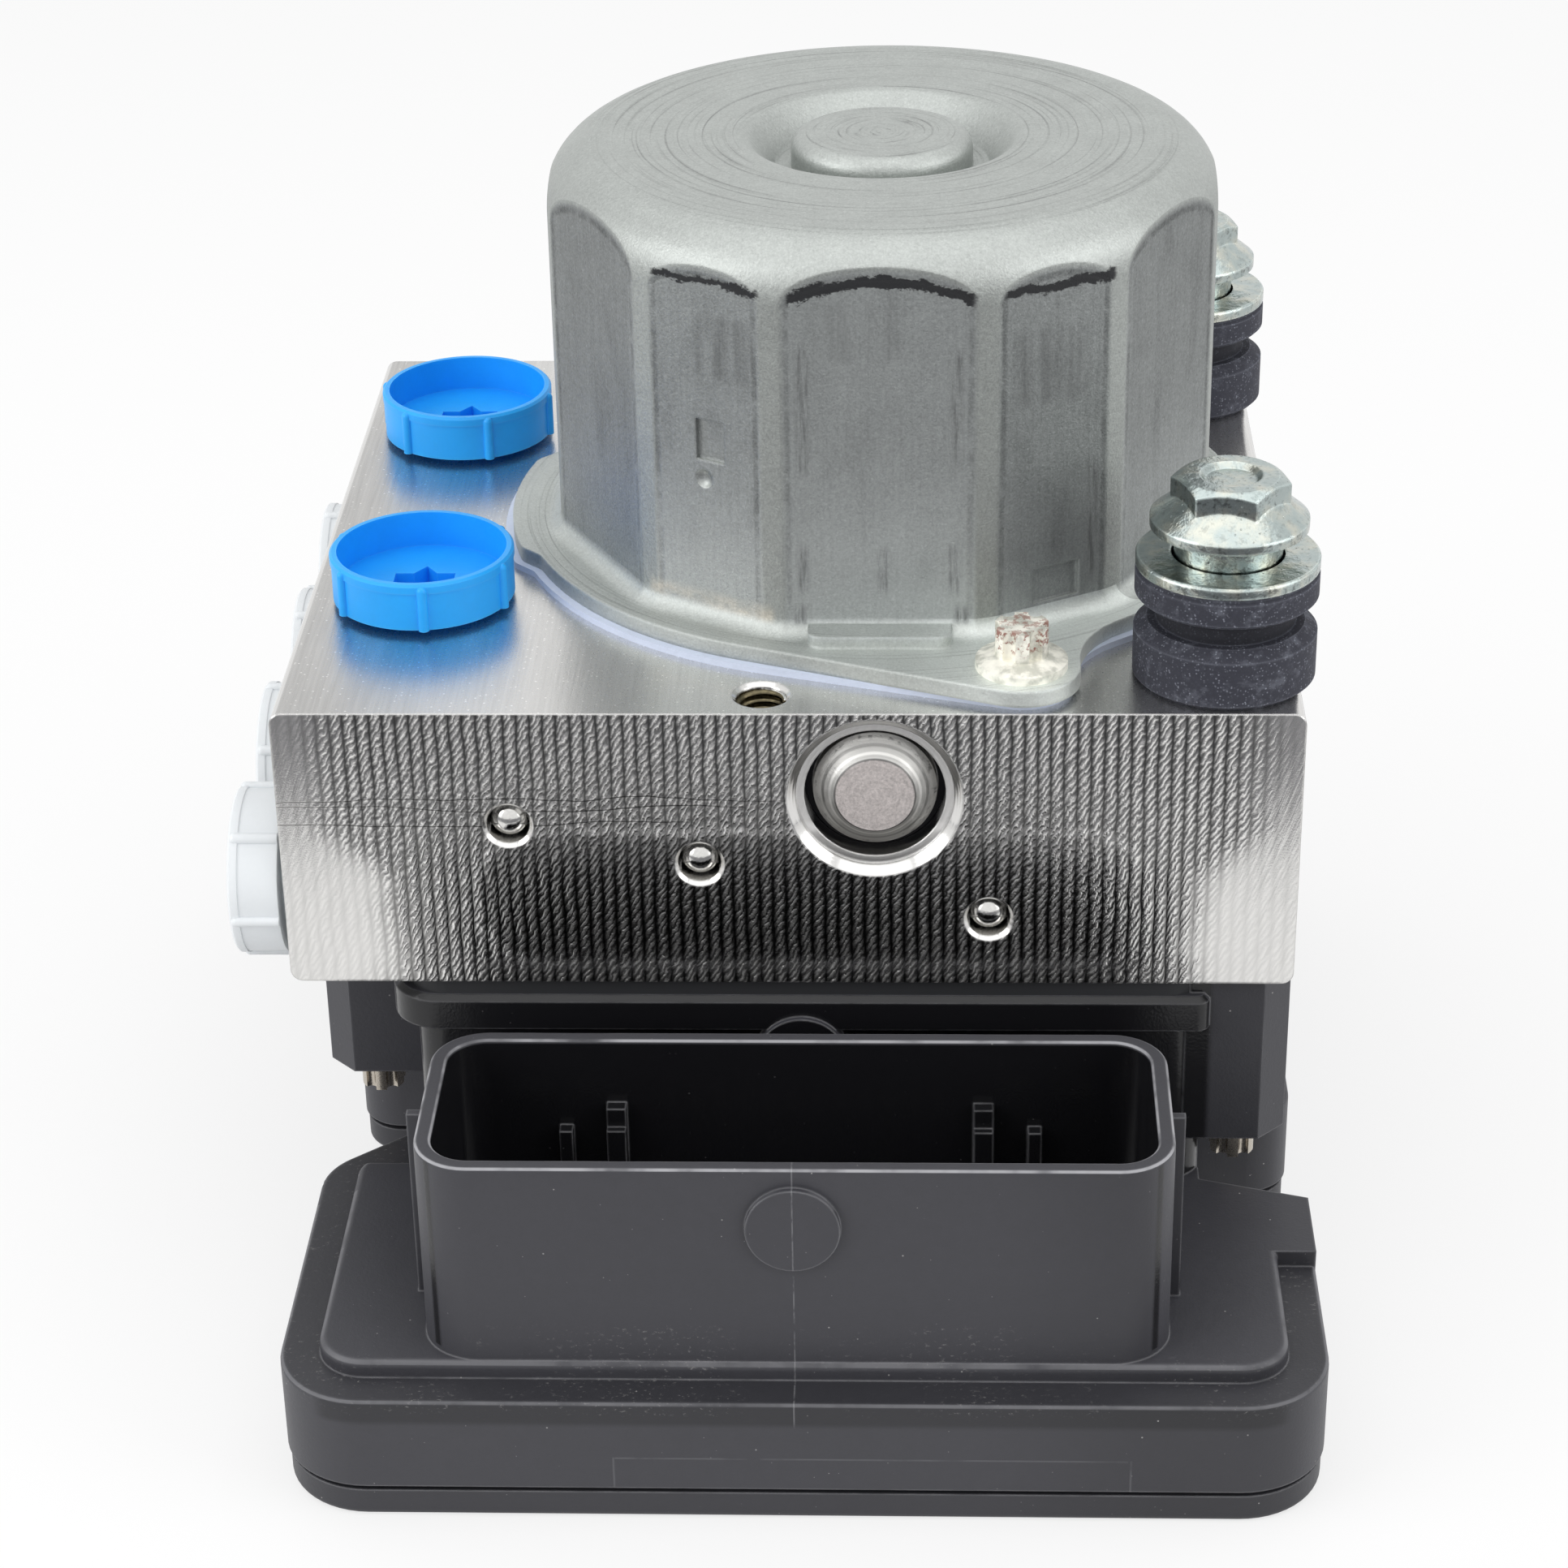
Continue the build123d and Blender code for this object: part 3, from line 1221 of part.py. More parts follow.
# ---------------------------------------------------------------- accumulators
def accumulator_plane(y):
    """Plane at an accumulator's mouth, Z pointing into the block."""
    return Plane(origin=(right_face, y, accumulator_height), x_dir=(0, 1, 0), z_dir=LEFTWARD)


def make_accumulator_caps():
    """Discs pressed into the accumulator bores."""
    low = accumulator_cap_sink
    outer = accumulator_radius - thread_clearance
    disc = turned(((0, low + 0.6), (outer - 2.0, low + 0.6), (outer - 1.4, low), (outer, low),
                   (outer, low + accumulator_cap), (0, low + accumulator_cap)))
    return group(accumulator_plane(y) * disc for y in accumulator_ys)


def accumulator_piston_at(y):
    """Cup piston at the bottom of its bore, open towards its spring."""
    outer = accumulator_radius - sliding_clearance
    end = accumulator_depth - touch_gap
    start = end - accumulator_piston
    cup = turned(((0, start + accumulator_wall), (spring_radius - 2.0, start + accumulator_wall),
                  (spring_radius - 2.0, start), (outer, start), (outer, end), (0, end)))
    return accumulator_plane(y) * cup


def accumulator_spring_at(y):
    """Coil spring between a cap and its piston."""
    low = accumulator_cap_sink + accumulator_cap
    high = accumulator_depth - touch_gap - accumulator_piston
    return accumulator_plane(y) * coil_spring(spring_radius, spring_wire, low, high, spring_turns)


# ---------------------------------------------------------------- export
def make_parts():
    """Every node by name."""
    parts = {
        "valve_block": make_valve_block(),
        "motor_housing": make_motor_housing(),
        "motor_gasket": make_motor_gasket(),
        "motor_screws": make_motor_screws(),
        "motor_end_plate": make_motor_end_plate(),
        "lower_bearing": make_lower_bearing(),
        "upper_bearing": make_upper_bearing(),
        "nose_bearing": make_nose_bearing(),
        "motor_magnets": make_magnets(),
        "brush_holder": make_brush_holder(),
        "motor_brushes": make_brushes(),
        "rotor_shaft": make_rotor_shaft(),
        "eccentric_ring": make_eccentric_ring(),
        "armature_core": make_armature_core(),
        "armature_windings": make_armature_windings(),
        "commutator": make_commutator(),
        "pump_plugs": make_pump_plugs(),
        "pump_cylinders": make_pump_cylinders(),
        "pump_pistons": make_pump_pistons(),
        "pump_springs": make_pump_springs(),
        "ball_plugs": make_ball_plugs(),
        "isolators": make_isolators(),
        "isolator_sleeves": make_isolator_sleeves(),
        "isolator_washers": make_isolator_washers(),
        "mounting_bolts": make_mounting_bolts(),
        "ecu_housing": make_ecu_housing(),
        "ecu_cover": make_ecu_cover(),
        "cover_seal": make_cover_seal(),
        "block_seal": make_block_seal(),
        "ecu_screws": make_ecu_screws(),
        "circuit_board": make_circuit_board(),
        "connector_pins": make_connector_pins(),
        "valve_cartridges": make_valve_cartridges(),
        "solenoid_coils": make_solenoid_coils(),
        "pressure_sensor": make_pressure_sensor(),
        "motor_lead": make_motor_lead(),
        "accumulator_caps": make_accumulator_caps(),
    }
    for i, place in enumerate(("front", "rear")):
        parts["inlet_cap_" + place] = inlet_cap(i)
        parts["accumulator_piston_" + place] = accumulator_piston_at(accumulator_ys[i])
        parts["accumulator_spring_" + place] = accumulator_spring_at(accumulator_ys[i])
    for i in range(outlet_port_count):
        parts["outlet_cap_" + str(i + 1)] = outlet_cap(i)
    return parts


os.makedirs("parts", exist_ok=True)
for name, shape in make_parts().items():
    export_step(shape, "parts/" + name + ".step")
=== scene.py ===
"""Looks of an anti-lock brake unit: finishes, small parts, light, floor and camera.

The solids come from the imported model. Lengths are in millimetres, and MM turns them into metres.
"""

import math

import bmesh
import bpy
from mathutils import Matrix, Vector
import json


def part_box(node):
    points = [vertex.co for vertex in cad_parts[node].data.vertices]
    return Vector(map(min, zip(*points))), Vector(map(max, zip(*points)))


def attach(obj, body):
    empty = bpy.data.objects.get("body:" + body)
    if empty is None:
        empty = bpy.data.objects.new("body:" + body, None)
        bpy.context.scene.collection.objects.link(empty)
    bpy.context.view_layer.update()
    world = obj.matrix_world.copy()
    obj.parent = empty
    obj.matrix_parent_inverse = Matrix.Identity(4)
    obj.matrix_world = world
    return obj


MM = 0.001

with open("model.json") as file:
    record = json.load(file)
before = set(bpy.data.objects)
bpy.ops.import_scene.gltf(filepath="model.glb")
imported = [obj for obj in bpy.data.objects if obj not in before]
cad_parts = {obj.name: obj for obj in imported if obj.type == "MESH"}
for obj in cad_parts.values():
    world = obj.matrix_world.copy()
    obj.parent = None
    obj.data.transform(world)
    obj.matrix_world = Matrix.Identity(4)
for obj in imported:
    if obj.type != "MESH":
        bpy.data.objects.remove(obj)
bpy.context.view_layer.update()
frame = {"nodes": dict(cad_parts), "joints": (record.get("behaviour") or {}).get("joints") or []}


def box_mm(node):
    """Lowest and highest corner of a solid, in millimetres."""
    low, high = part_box(node)
    return low / MM, high / MM


# ---------------------------------------------------------------- places, some read from the solids and some given
motor_x = frame["joints"][0]["pos_m"][0] / MM
block_low, block_high = box_mm("valve_block")
can_low, can_high = box_mm("motor_housing")
front_face = block_low.y
block_top = block_high.z
shroud_front = -91.5
shroud_seam_x = 1.3
can_radius = 41.2
can_shoulder = 7.4
pump_plug_x = motor_x - 0.5
pump_plug_z = block_top - 11.1
tapped_hole = Vector((-2.95, front_face + 5.05, block_top))
tapped_hole_radius = 3.0
tapped_hole_depth = 10.5

# ---------------------------------------------------------------- camera
camera_place = Vector((16.337, -444.697, 282.273))
camera_lens = 87.19
camera_pitch = 0.489657474
camera_yaw = -0.0425607136
camera_roll = -0.0189129801


def set_camera():
    """A long lens from the connector's side, a little above."""
    forward = Vector((math.sin(camera_yaw) * math.cos(camera_pitch),
                      math.cos(camera_yaw) * math.cos(camera_pitch),
                      -math.sin(camera_pitch)))
    level = Vector((math.cos(camera_yaw), -math.sin(camera_yaw), 0.0))
    upright = level.cross(forward)
    right = level * math.cos(camera_roll) + upright * math.sin(camera_roll)
    up = upright * math.cos(camera_roll) - level * math.sin(camera_roll)
    data = bpy.data.cameras.new("camera")
    data.lens = camera_lens
    data.sensor_width = 36.0
    data.clip_start = 0.01
    data.clip_end = 20.0
    camera = bpy.data.objects.new("camera", data)
    turn = Matrix((right, up, -forward)).transposed().to_4x4()
    camera.matrix_world = Matrix.Translation(camera_place * MM) @ turn
    bpy.context.scene.collection.objects.link(camera)
    bpy.context.scene.camera = camera


def srgb(red, green, blue):
    """A colour as it is seen, 0 to 255, as the shader's linear colour."""
    def linear(level):
        level = level / 255
        return level / 12.92 if level <= 0.04045 else ((level + 0.055) / 1.055) ** 2.4
    return (linear(red), linear(green), linear(blue), 1.0)


# ---------------------------------------------------------------- shader arithmetic
edge_contrast = 0.25


class Value:
    """A number in a material. Arithmetic on it adds Math nodes."""

    def __init__(self, finish, socket):
        self.finish = finish
        self.socket = socket

    def math(self, operation, *numbers):
        return self.finish.add("ShaderNodeMath", {"operation": operation},
                               dict(enumerate(numbers)))

    def __add__(self, other):
        return self.math("ADD", self, other)

    def __radd__(self, other):
        return self.math("ADD", other, self)

    def __sub__(self, other):
        return self.math("SUBTRACT", self, other)

    def __rsub__(self, other):
        return self.math("SUBTRACT", other, self)

    def __mul__(self, other):
        return self.math("MULTIPLY", self, other)

    def __truediv__(self, other):
        return self.math("DIVIDE", self, other)

    def __abs__(self):
        return self.math("ABSOLUTE", self)

    def sine(self):
        return self.math("SINE", self)

    def root(self):
        return self.math("SQRT", self)

    def share(self):
        """The part after the decimal point."""
        return self.math("FRACT", self)

    def below(self, limit):
        return self.math("LESS_THAN", self, limit)

    def above(self, limit):
        return self.math("GREATER_THAN", self, limit)

    def larger(self, other):
        return self.math("MAXIMUM", self, other)

    def smaller(self, other):
        return self.math("MINIMUM", self, other)

    def rise(self, low, high):
        """0 at low and 1 at high, smooth between, whichever of them is the larger."""
        return self.finish.add("ShaderNodeMapRange", {"interpolation_type": "SMOOTHSTEP"},
                               {"Value": self, "From Min": low, "From Max": high})

    def near(self, centre, half_width, soft):
        """1 within half_width of centre, fading to 0 over soft."""
        return abs(self - centre).rise(half_width + soft, half_width)


class Finish:
    """A procedural material on the object's own coordinates, in millimetres."""

    def __init__(self, name):
        self.material = bpy.data.materials.new(name)
        self.material.use_nodes = True
        self.nodes = self.material.node_tree.nodes
        self.links = self.material.node_tree.links
        self.nodes.clear()
        raw = self.add("ShaderNodeTexCoord", output="Object")
        self.place = self.add("ShaderNodeVectorMath", {"operation": "SCALE"},
                              {0: raw, "Scale": 1 / MM})
        self.x, self.y, self.z = self.parts(self.place)
        self.nx, self.ny, self.nz = self.parts(self.add("ShaderNodeTexCoord", output="Normal"))

    def add(self, kind, settings=None, sockets=None, output=0):
        """A node with its settings made first, then its sockets set or linked."""
        node = self.nodes.new(kind)
        for name, value in (settings or {}).items():
            setattr(node, name, value)
        for name, value in (sockets or {}).items():
            self.give(node.inputs[name], value)
        return Value(self, node.outputs[output])

    def give(self, socket, value):
        if isinstance(value, Value):
            self.links.new(value.socket, socket)
        elif isinstance(value, tuple):
            socket.default_value = value[:len(socket.default_value)]
        else:
            socket.default_value = value

    def parts(self, vector):
        node = self.add("ShaderNodeSeparateXYZ", None, {0: vector}).socket.node
        return [Value(self, output) for output in node.outputs]

    def vector(self, x, y, z):
        return self.add("ShaderNodeCombineXYZ", None, {0: x, 1: y, 2: z})

    def noise(self, size, detail=2.0, stretch=(1, 1, 1), at=None, rough=0.55):
        """Soft noise from 0 to 1 with spots of that size; stretch lengthens them per axis."""
        shrink = tuple(1 / (size * s) for s in stretch)
        where = self.add("ShaderNodeVectorMath", {"operation": "MULTIPLY"},
                         {0: at or self.place, 1: shrink})
        return self.add("ShaderNodeTexNoise", None,
                        {"Vector": where, "Scale": 1.0, "Detail": detail, "Roughness": rough})

    def specks(self, size, share, spread=0.3):
        """Round specks, one in some of the cells of a random pattern."""
        cell = self.add("ShaderNodeTexVoronoi", None, {"Vector": self.place, "Scale": 1 / size})
        chance = self.add("ShaderNodeSeparateColor", None,
                          {0: Value(self, cell.socket.node.outputs["Color"])})
        return cell.rise(spread, spread * 0.5) * chance.below(share)

    def mix(self, mask, first, second):
        """The first colour where mask is 0 and the second where it is 1."""
        return self.add("ShaderNodeMix", {"data_type": "RGBA"},
                        {0: mask, 6: first, 7: second}, output=2)

    def shade(self, colour, factor):
        """A colour made darker or lighter by a number."""
        return self.add("ShaderNodeVectorMath", {"operation": "SCALE"},
                        {0: colour, "Scale": factor})

    def round_off(self, radius):
        """Makes the normal with sharp edges rounded off, which edges and bump use."""
        self.rounded = self.add("ShaderNodeBevel", {"samples": 4}, {"Radius": radius * MM})

    def edges(self, radius):
        """1 along sharp edges and 0 on faces."""
        self.round_off(radius)
        plain = self.add("ShaderNodeNewGeometry", output="Normal")
        match = self.add("ShaderNodeVectorMath", {"operation": "DOT_PRODUCT"},
                         {0: self.rounded, 1: plain}, output="Value")
        return (1 - match).rise(0.0, edge_contrast)

    def bump(self, height, depth, over=None):
        """Relief of that depth in millimetres for a height of 1, over a normal or the plain one."""
        sockets = {"Height": height, "Distance": depth * MM}
        if over:
            sockets["Normal"] = over
        return self.add("ShaderNodeBump", None, sockets)

    def surface(self, **sockets):
        """Closes the material with one Principled shader."""
        shader = self.add("ShaderNodeBsdfPrincipled", None,
                          {name.replace("_", " "): value for name, value in sockets.items()})
        self.add_output(shader)
        return self

    def add_output(self, shader):
        out = self.nodes.new("ShaderNodeOutputMaterial")
        self.links.new(shader.socket, out.inputs["Surface"])


# ---------------------------------------------------------------- metal finishes
rope_pitch = 1.55
rope_twist = 1.15
rope_lean = 2.1
scratch_heights = (72.2, 71.0, 69.0)
# the painted dark reflection on the block's front: its middle, and how far its ends' centres lie
# from it
patch_x, patch_z = 2.7, 59.0
patch_half_x, patch_half_z = 31.5, 0.6


def milled_block():
    """Milled aluminium: roped cutter rows on the sides, fine lines on top, scratches."""
    f = Finish("milled_aluminium")
    across = abs(f.ny).rise(0.85, 0.95)
    sideways = abs(f.nx).rise(0.85, 0.95)
    upward = abs(f.nz).rise(0.85, 0.95)
    side = (across + sideways).smaller(1.0)
    along = f.x * across + f.y * sideways
    dx = f.x - pump_plug_x
    dz = f.z - pump_plug_z
    plug_distance = (dx * dx + dz * dz).root()
    turned = plug_distance.rise(10.5, 10.3) * abs(f.y).above(block_high.y - 12.0)
    wobble = f.noise(4.0, 2.0) * 0.35
    column = along / rope_pitch + wobble
    row = column.share()
    phase = (column - row) * 0.37
    strand = (row * math.pi).sine()
    fray = f.noise(0.8, 3.0, (1, 1, 1.6)) * 1.7
    twist = f.z / rope_twist - row * rope_lean + phase + fray
    fibre = (twist * (2 * math.pi)).sine() * 0.5 + 0.5
    low_side = f.z.rise(70.0, 60.0)
    reach = abs(along) + f.noise(9.0, 2.0) * 6.0 + low_side * 7.0
    ends = reach.rise(54.0, 62.0)
    lean = along - f.z * f.ny.math("SIGN", f.ny) * -0.34
    stroke = f.noise(0.5, 3.0, (1, 18, 1), f.vector(lean, f.z, 0.0))
    grain = f.noise(0.22, 3.0)
    roped = strand * (0.30 + fibre * 0.70)
    roping = (1 - ends * 0.86) * (1 - turned) * side
    relief = roped * (1 - ends) + stroke * ends
    scratches = 0
    for i, height in enumerate(scratch_heights):
        path = f.noise(22.0 + 5 * i, 3.0) * 3.4 - 1.7
        line = (f.z + path).near(height, 0.03, 0.08)
        scratches = line * f.x.rise(8.0 - 9 * i, -14.0) + scratches
    scratches = scratches * f.ny.below(-0.9) * (1 - turned)
    lines = f.noise(0.35, 4.0, (1, 40, 1))
    glint = f.specks(0.55, 0.22, 0.3)
    dull = f.noise(16.0, 3.0)
    spun = f.noise(0.35, 2.0, (1, 12, 12), f.vector(plug_distance, dx * 0.1, dz * 0.1))
    # painted light over the real cutter rows: painted shade in the gaps between strands and painted
    # sheen on their crowns
    rope_tone = 0.08 + roped * 1.22 + grain * 0.14
    plain_tone = 0.98 + stroke * 0.30 - turned * (0.10 - spun * 0.2)
    side_tone = plain_tone + (rope_tone - plain_tone) * roping
    # a painted dark reflection with round ends, and a painted paler line along its edge
    past_x = (abs(f.x - patch_x) - patch_half_x).larger(0.0)
    past_z = (abs(f.z - patch_z) - patch_half_z).larger(0.0)
    patch = (past_x * past_x + past_z * past_z).root() + f.noise(3.0, 3.0) * 1.0
    painted_reflection = patch.rise(9.0, 7.4) * f.ny.below(-0.9)
    painted_reflection_rim = patch.near(8.9, 0.2, 0.8) * f.ny.below(-0.9) * f.noise(5.0, 3.0).rise(0.3, 0.6)
    side_tone = side_tone * (1 - painted_reflection * (0.34 - f.x.rise(5.0, 30.0) * 0.32)) + painted_reflection_rim * 0.24
    top_tone = 0.80 + lines * 0.30 + glint * 0.4 + dull * 0.14 - f.x.rise(-28.0, -56.0) * 0.28
    tone = side_tone * side + top_tone * upward + (1 - side - upward).larger(0.0) * 1.05
    edge = f.edges(0.4)
    # painted highlight: the edges are lifted to a bright line
    tone = (tone * (1 - scratches * 0.65)).larger(edge * 1.25)
    hx = f.x - tapped_hole.x
    hy = f.y - tapped_hole.y
    in_hole = (hx * hx + hy * hy).root().below(tapped_hole_radius + 0.1)
    in_hole = in_hole * f.z.below(block_top - 0.75)
    # painted shade inside the tapped hole and on its thread, dark with a paler brown mottle
    hole_shade = f.mix(f.noise(0.6, 3.0), srgb(40, 38, 34), srgb(142, 132, 104))
    rough = 0.13 + upward * 0.12 + grain * 0.06 - turned * 0.03
    height = (relief * roping + stroke * 0.35 * ends + grain * 0.12) * side
    height = height + (lines * 0.16 + grain * 0.10) * upward + spun * turned * 0.2
    return f.surface(Base_Color=f.mix(in_hole, f.shade(srgb(214, 213, 211), tone), hole_shade),
                     Metallic=1.0 - roped * roping * 0.16 - turned * side * 0.3,
                     Roughness=rough,
                     Normal=f.bump(height - scratches * 0.3, 0.07, f.rounded))


# angle of the middle and half the width in degrees, height, fall per square degree, thickness
can_smears = ((0.4, 15.2, 130.4, 0.0098, 1.0),
              (-29.6, 10.2, 128.9, 0.0015, 0.5),
              (31.0, 10.4, 128.3, 0.0008, 0.75))
# angle of the middle and half the width in degrees, lowest and highest point
can_streaks = ((-12.5, 0.8, 108.0, 121.5), (12.8, 0.5, 109.0, 121.0),
               (-12.8, 0.6, 93.0, 96.5), (12.4, 0.7, 93.0, 96.5),
               (0.6, 0.5, 93.0, 96.0), (37.8, 0.6, 91.0, 104.0),
               (-13.0, 1.2, 87.4, 89.0), (13.6, 1.0, 87.4, 88.4))
can_rubs = ((29.5, 5.5, 115.0, 122.5), (-3.0, 5.0, 121.5, 127.0), (-26.0, 4.0, 118.0, 124.0))
wide_half_angle = 15.0
narrow_half_angle = 9.6


def can_metal():
    """Drawn and plated sheet: beaded skin, spun rings on top, drawn facets with smears."""
    f = Finish("zinc_plated_can")
    f.round_off(0.5)
    x = f.x - motor_x
    radius = (x * x + f.y * f.y).root()
    angle = f.add("ShaderNodeMath", {"operation": "ARCTAN2"}, {0: x, 1: f.y * -1}) * (180 / math.pi)
    upright = abs(f.nz).rise(0.60, 0.10)
    wall = upright * f.z.rise(can_low.z + 2.2, can_low.z + 4.0) * radius.rise(30.0, 34.0)
    # how far below the round shoulder a point on the wall is
    reach = radius - (can_radius - can_shoulder)
    shoulder = ((can_shoulder ** 2 - reach * reach).larger(0.0)).root() + can_high.z - can_shoulder
    below = shoulder - f.z
    wide_turn = abs((angle / 60 + 0.5).share() - 0.5) * 60
    narrow_turn = 30 - wide_turn
    in_wide = wide_turn.rise(wide_half_angle + 1.4, wide_half_angle)
    in_narrow = narrow_turn.rise(narrow_half_angle + 1.4, narrow_half_angle)
    panel = (in_wide + in_narrow).smaller(1.0) * wall * below.rise(0.1, 0.9)
    rim_line = (wide_turn.near(wide_half_angle, 0.15, 0.6)
                + narrow_turn.near(narrow_half_angle, 0.15, 0.6))
    rim_line = rim_line * below.rise(0.6, 2.4)
    arch_line = below.near(1.3, 0.15, 0.45) * (in_wide + in_narrow)
    outline = (rim_line + arch_line).smaller(1.0) * wall * f.noise(2.4, 3.0).rise(0.25, 0.6)
    beads = f.noise(0.26, 3.0)
    sparkle = f.specks(0.45, 0.30, 0.35)
    mottle = f.noise(5.0, 3.0)
    rings = f.noise(1.0, 3.0, (0.5, 1.0, 1), f.vector(radius, angle / 90, 0.0))
    ring_lines = rings.rise(0.50, 0.76) * abs(f.nz).rise(0.9, 0.98)
    draws = f.noise(0.45, 4.0, (1, 1, 34))
    smudge = f.noise(4.2, 4.0, (1, 1, 2.6)).rise(0.50, 0.78) * panel
    # black tool smears just under the arched tops of the three front panels
    frayed = f.noise(2.6, 4.0, (1, 1, 0.6), rough=0.75) * 2.0 - 1.0
    smear = 0
    for centre, half, height, arch, thick in can_smears:
        off = angle - centre
        arc = f.z + off * off * arch + frayed * 1.3
        band = arc.near(height, thick * 0.6, 0.3) * (abs(off) + frayed).rise(half + 0.6, half - 0.6)
        smear = smear + band
    streaks = 0
    for centre, half, low, high in can_streaks:
        tall = f.z.near((low + high) / 2, (high - low) / 2, 2.5)
        streaks = streaks + angle.near(centre, half * 0.5, 1.3) * tall
    rubs = 0
    for centre, half, low, high in can_rubs:
        tall = f.z.near((low + high) / 2, (high - low) / 2, 1.8)
        rubs = rubs + angle.near(centre, half, 3.0) * tall
    blots = f.noise(0.6, 4.0, (1, 1, 9), rough=0.6).rise(0.30, 0.75)
    brushed = f.noise(1.4, 4.0, (1, 1, 14)).rise(0.25, 0.85)
    dirt = (smear.smaller(1.0)).larger(streaks.smaller(1.0) * wall * blots * 0.8)
    dirt = dirt.larger(rubs.smaller(1.0) * brushed * 0.5)
    pale = f.z.rise(90.4, 88.6) * wall * f.noise(3.2, 3.0, (2, 2, 1)).rise(0.3, 0.62)
    pale = pale * angle.near(-30.0, 11.5, 1.5)
    foot = f.z.near(can_low.z + 2.6, 0.5, 0.8) * radius.rise(39.0, 40.5)
    cast = f.noise(0.55, 4.0, rough=0.75)
    tone = 0.36 + beads * 0.40 + cast * 0.34 + mottle * 0.14 + sparkle * 0.08 - ring_lines * 0.32
    # painted shade: the walls are kept darker than the top
    tone = tone - wall * 0.12 - panel * (0.14 - draws * 0.14) - smudge * 0.10 - outline * 0.16
    flange = f.z.below(can_low.z + 4.0)
    # painted light in the last term: the panels lighter towards their bottom
    tone = tone + pale * 0.14 + foot * 0.08 + flange * 0.12 + f.z.rise(112.0, 88.0) * panel * 0.20
    # painted light per facet: the front panel lighter, the panels beside it and the far ones darker
    front = angle.near(0.0, 15.5, 1.0) * 0.10 - angle.near(30.5, 11.0, 1.0) * 0.07
    front = front - angle.near(-30.5, 11.0, 1.0) * 0.05
    tone = tone + panel * (front - abs(angle).rise(44.0, 47.0) * 0.14)
    # painted highlight on the flange's right front; the flange a little darker towards the left
    flange_highlight = f.x.rise(12.0, 26.0) * f.y.below(-30.0)
    tone = tone + flange * (flange_highlight * 0.40 - f.x.rise(10.0, -4.0) * 0.06)
    colour = f.mix(panel * 0.8, srgb(192, 196, 193), srgb(186, 190, 190))
    colour = f.mix(pale * 0.7, colour, srgb(212, 205, 192))
    colour = f.mix(dirt, f.shade(colour, tone), srgb(26, 27, 30))
    rough = 0.40 + beads * 0.10 + mottle * 0.06 + wall * 0.08 + dirt * 0.15 + flange * 0.12
    height = beads * 0.8 + cast * 0.9 - ring_lines * 0.45 + draws * panel * 0.25 - outline * 0.8
    return f.surface(Base_Color=colour, Metallic=1 - dirt * 0.9, Roughness=rough,
                     Normal=f.bump(height, 0.05, f.rounded))


def bright_zinc():
    """Blue-bright zinc on bolts and washers, with pits, dents, stains and fine grain."""
    f = Finish("zinc_bright")
    stain = f.noise(2.6, 4.0)
    pits = f.specks(0.7, 0.25, 0.25)
    fine = f.noise(0.18, 2.0)
    edge = f.edges(0.45)
    dents = f.noise(1.3, 3.0)
    patches = f.noise(0.9, 5.0, rough=0.75).rise(0.50, 0.66)
    # painted shade: upright faces darker and more mottled than the top
    side_shade = abs(f.nz).rise(0.5, 0.2)
    tone = 0.60 + stain * 0.30 + fine * 0.10 - pits * 0.20 - patches * (0.18 + side_shade * 0.2)
    # painted highlight along the edges
    tone = tone - side_shade * 0.10 + edge * 0.75
    colour = f.mix(stain.rise(0.4, 0.7), srgb(196, 208, 206), srgb(214, 216, 205))
    return f.surface(Base_Color=f.shade(colour, tone), Metallic=1.0,
                     Roughness=0.10 + fine * 0.10 + stain * 0.08 + pits * 0.15,
                     Normal=f.bump(dents * 2.2 + fine * 0.35 - pits * 0.5, 0.05, f.rounded))


def weathered_screw():
    """Plated screws gone white with salt, with specks of rust on the head."""
    f = Finish("plated_screw")
    crust = f.noise(0.8, 4.0)
    rust = f.noise(1.0, 4.0, rough=0.7).rise(0.50, 0.60) * f.z.near(90.4, 1.0, 0.9)
    bloom = f.noise(1.9, 3.0).rise(0.35, 0.6)
    edge = f.edges(0.3)
    colour = f.mix(bloom, srgb(188, 188, 178), srgb(232, 230, 220))
    # painted highlight: the edges slightly lighter
    colour = f.mix(rust * 0.85, f.shade(colour, 1.04 + crust * 0.3 + edge * 0.1), srgb(134, 66, 48))
    return f.surface(Base_Color=colour, Metallic=0.55 - bloom * 0.3 - rust * 0.25,
                     Roughness=0.36 + crust * 0.25 + rust * 0.2,
                     Normal=f.bump(crust + rust * 0.4, 0.09))


def nickel_screw():
    """Bright star-headed screws."""
    f = Finish("nickel_screw")
    fine = f.noise(0.25, 3.0)
    edge = f.edges(0.25)
    # painted highlight: the edges slightly lighter
    return f.surface(Base_Color=f.shade(srgb(196, 188, 176), 0.82 + fine * 0.2 + edge * 0.2),
                     Metallic=1.0, Roughness=0.22 + fine * 0.12,
                     Normal=f.bump(fine, 0.02))


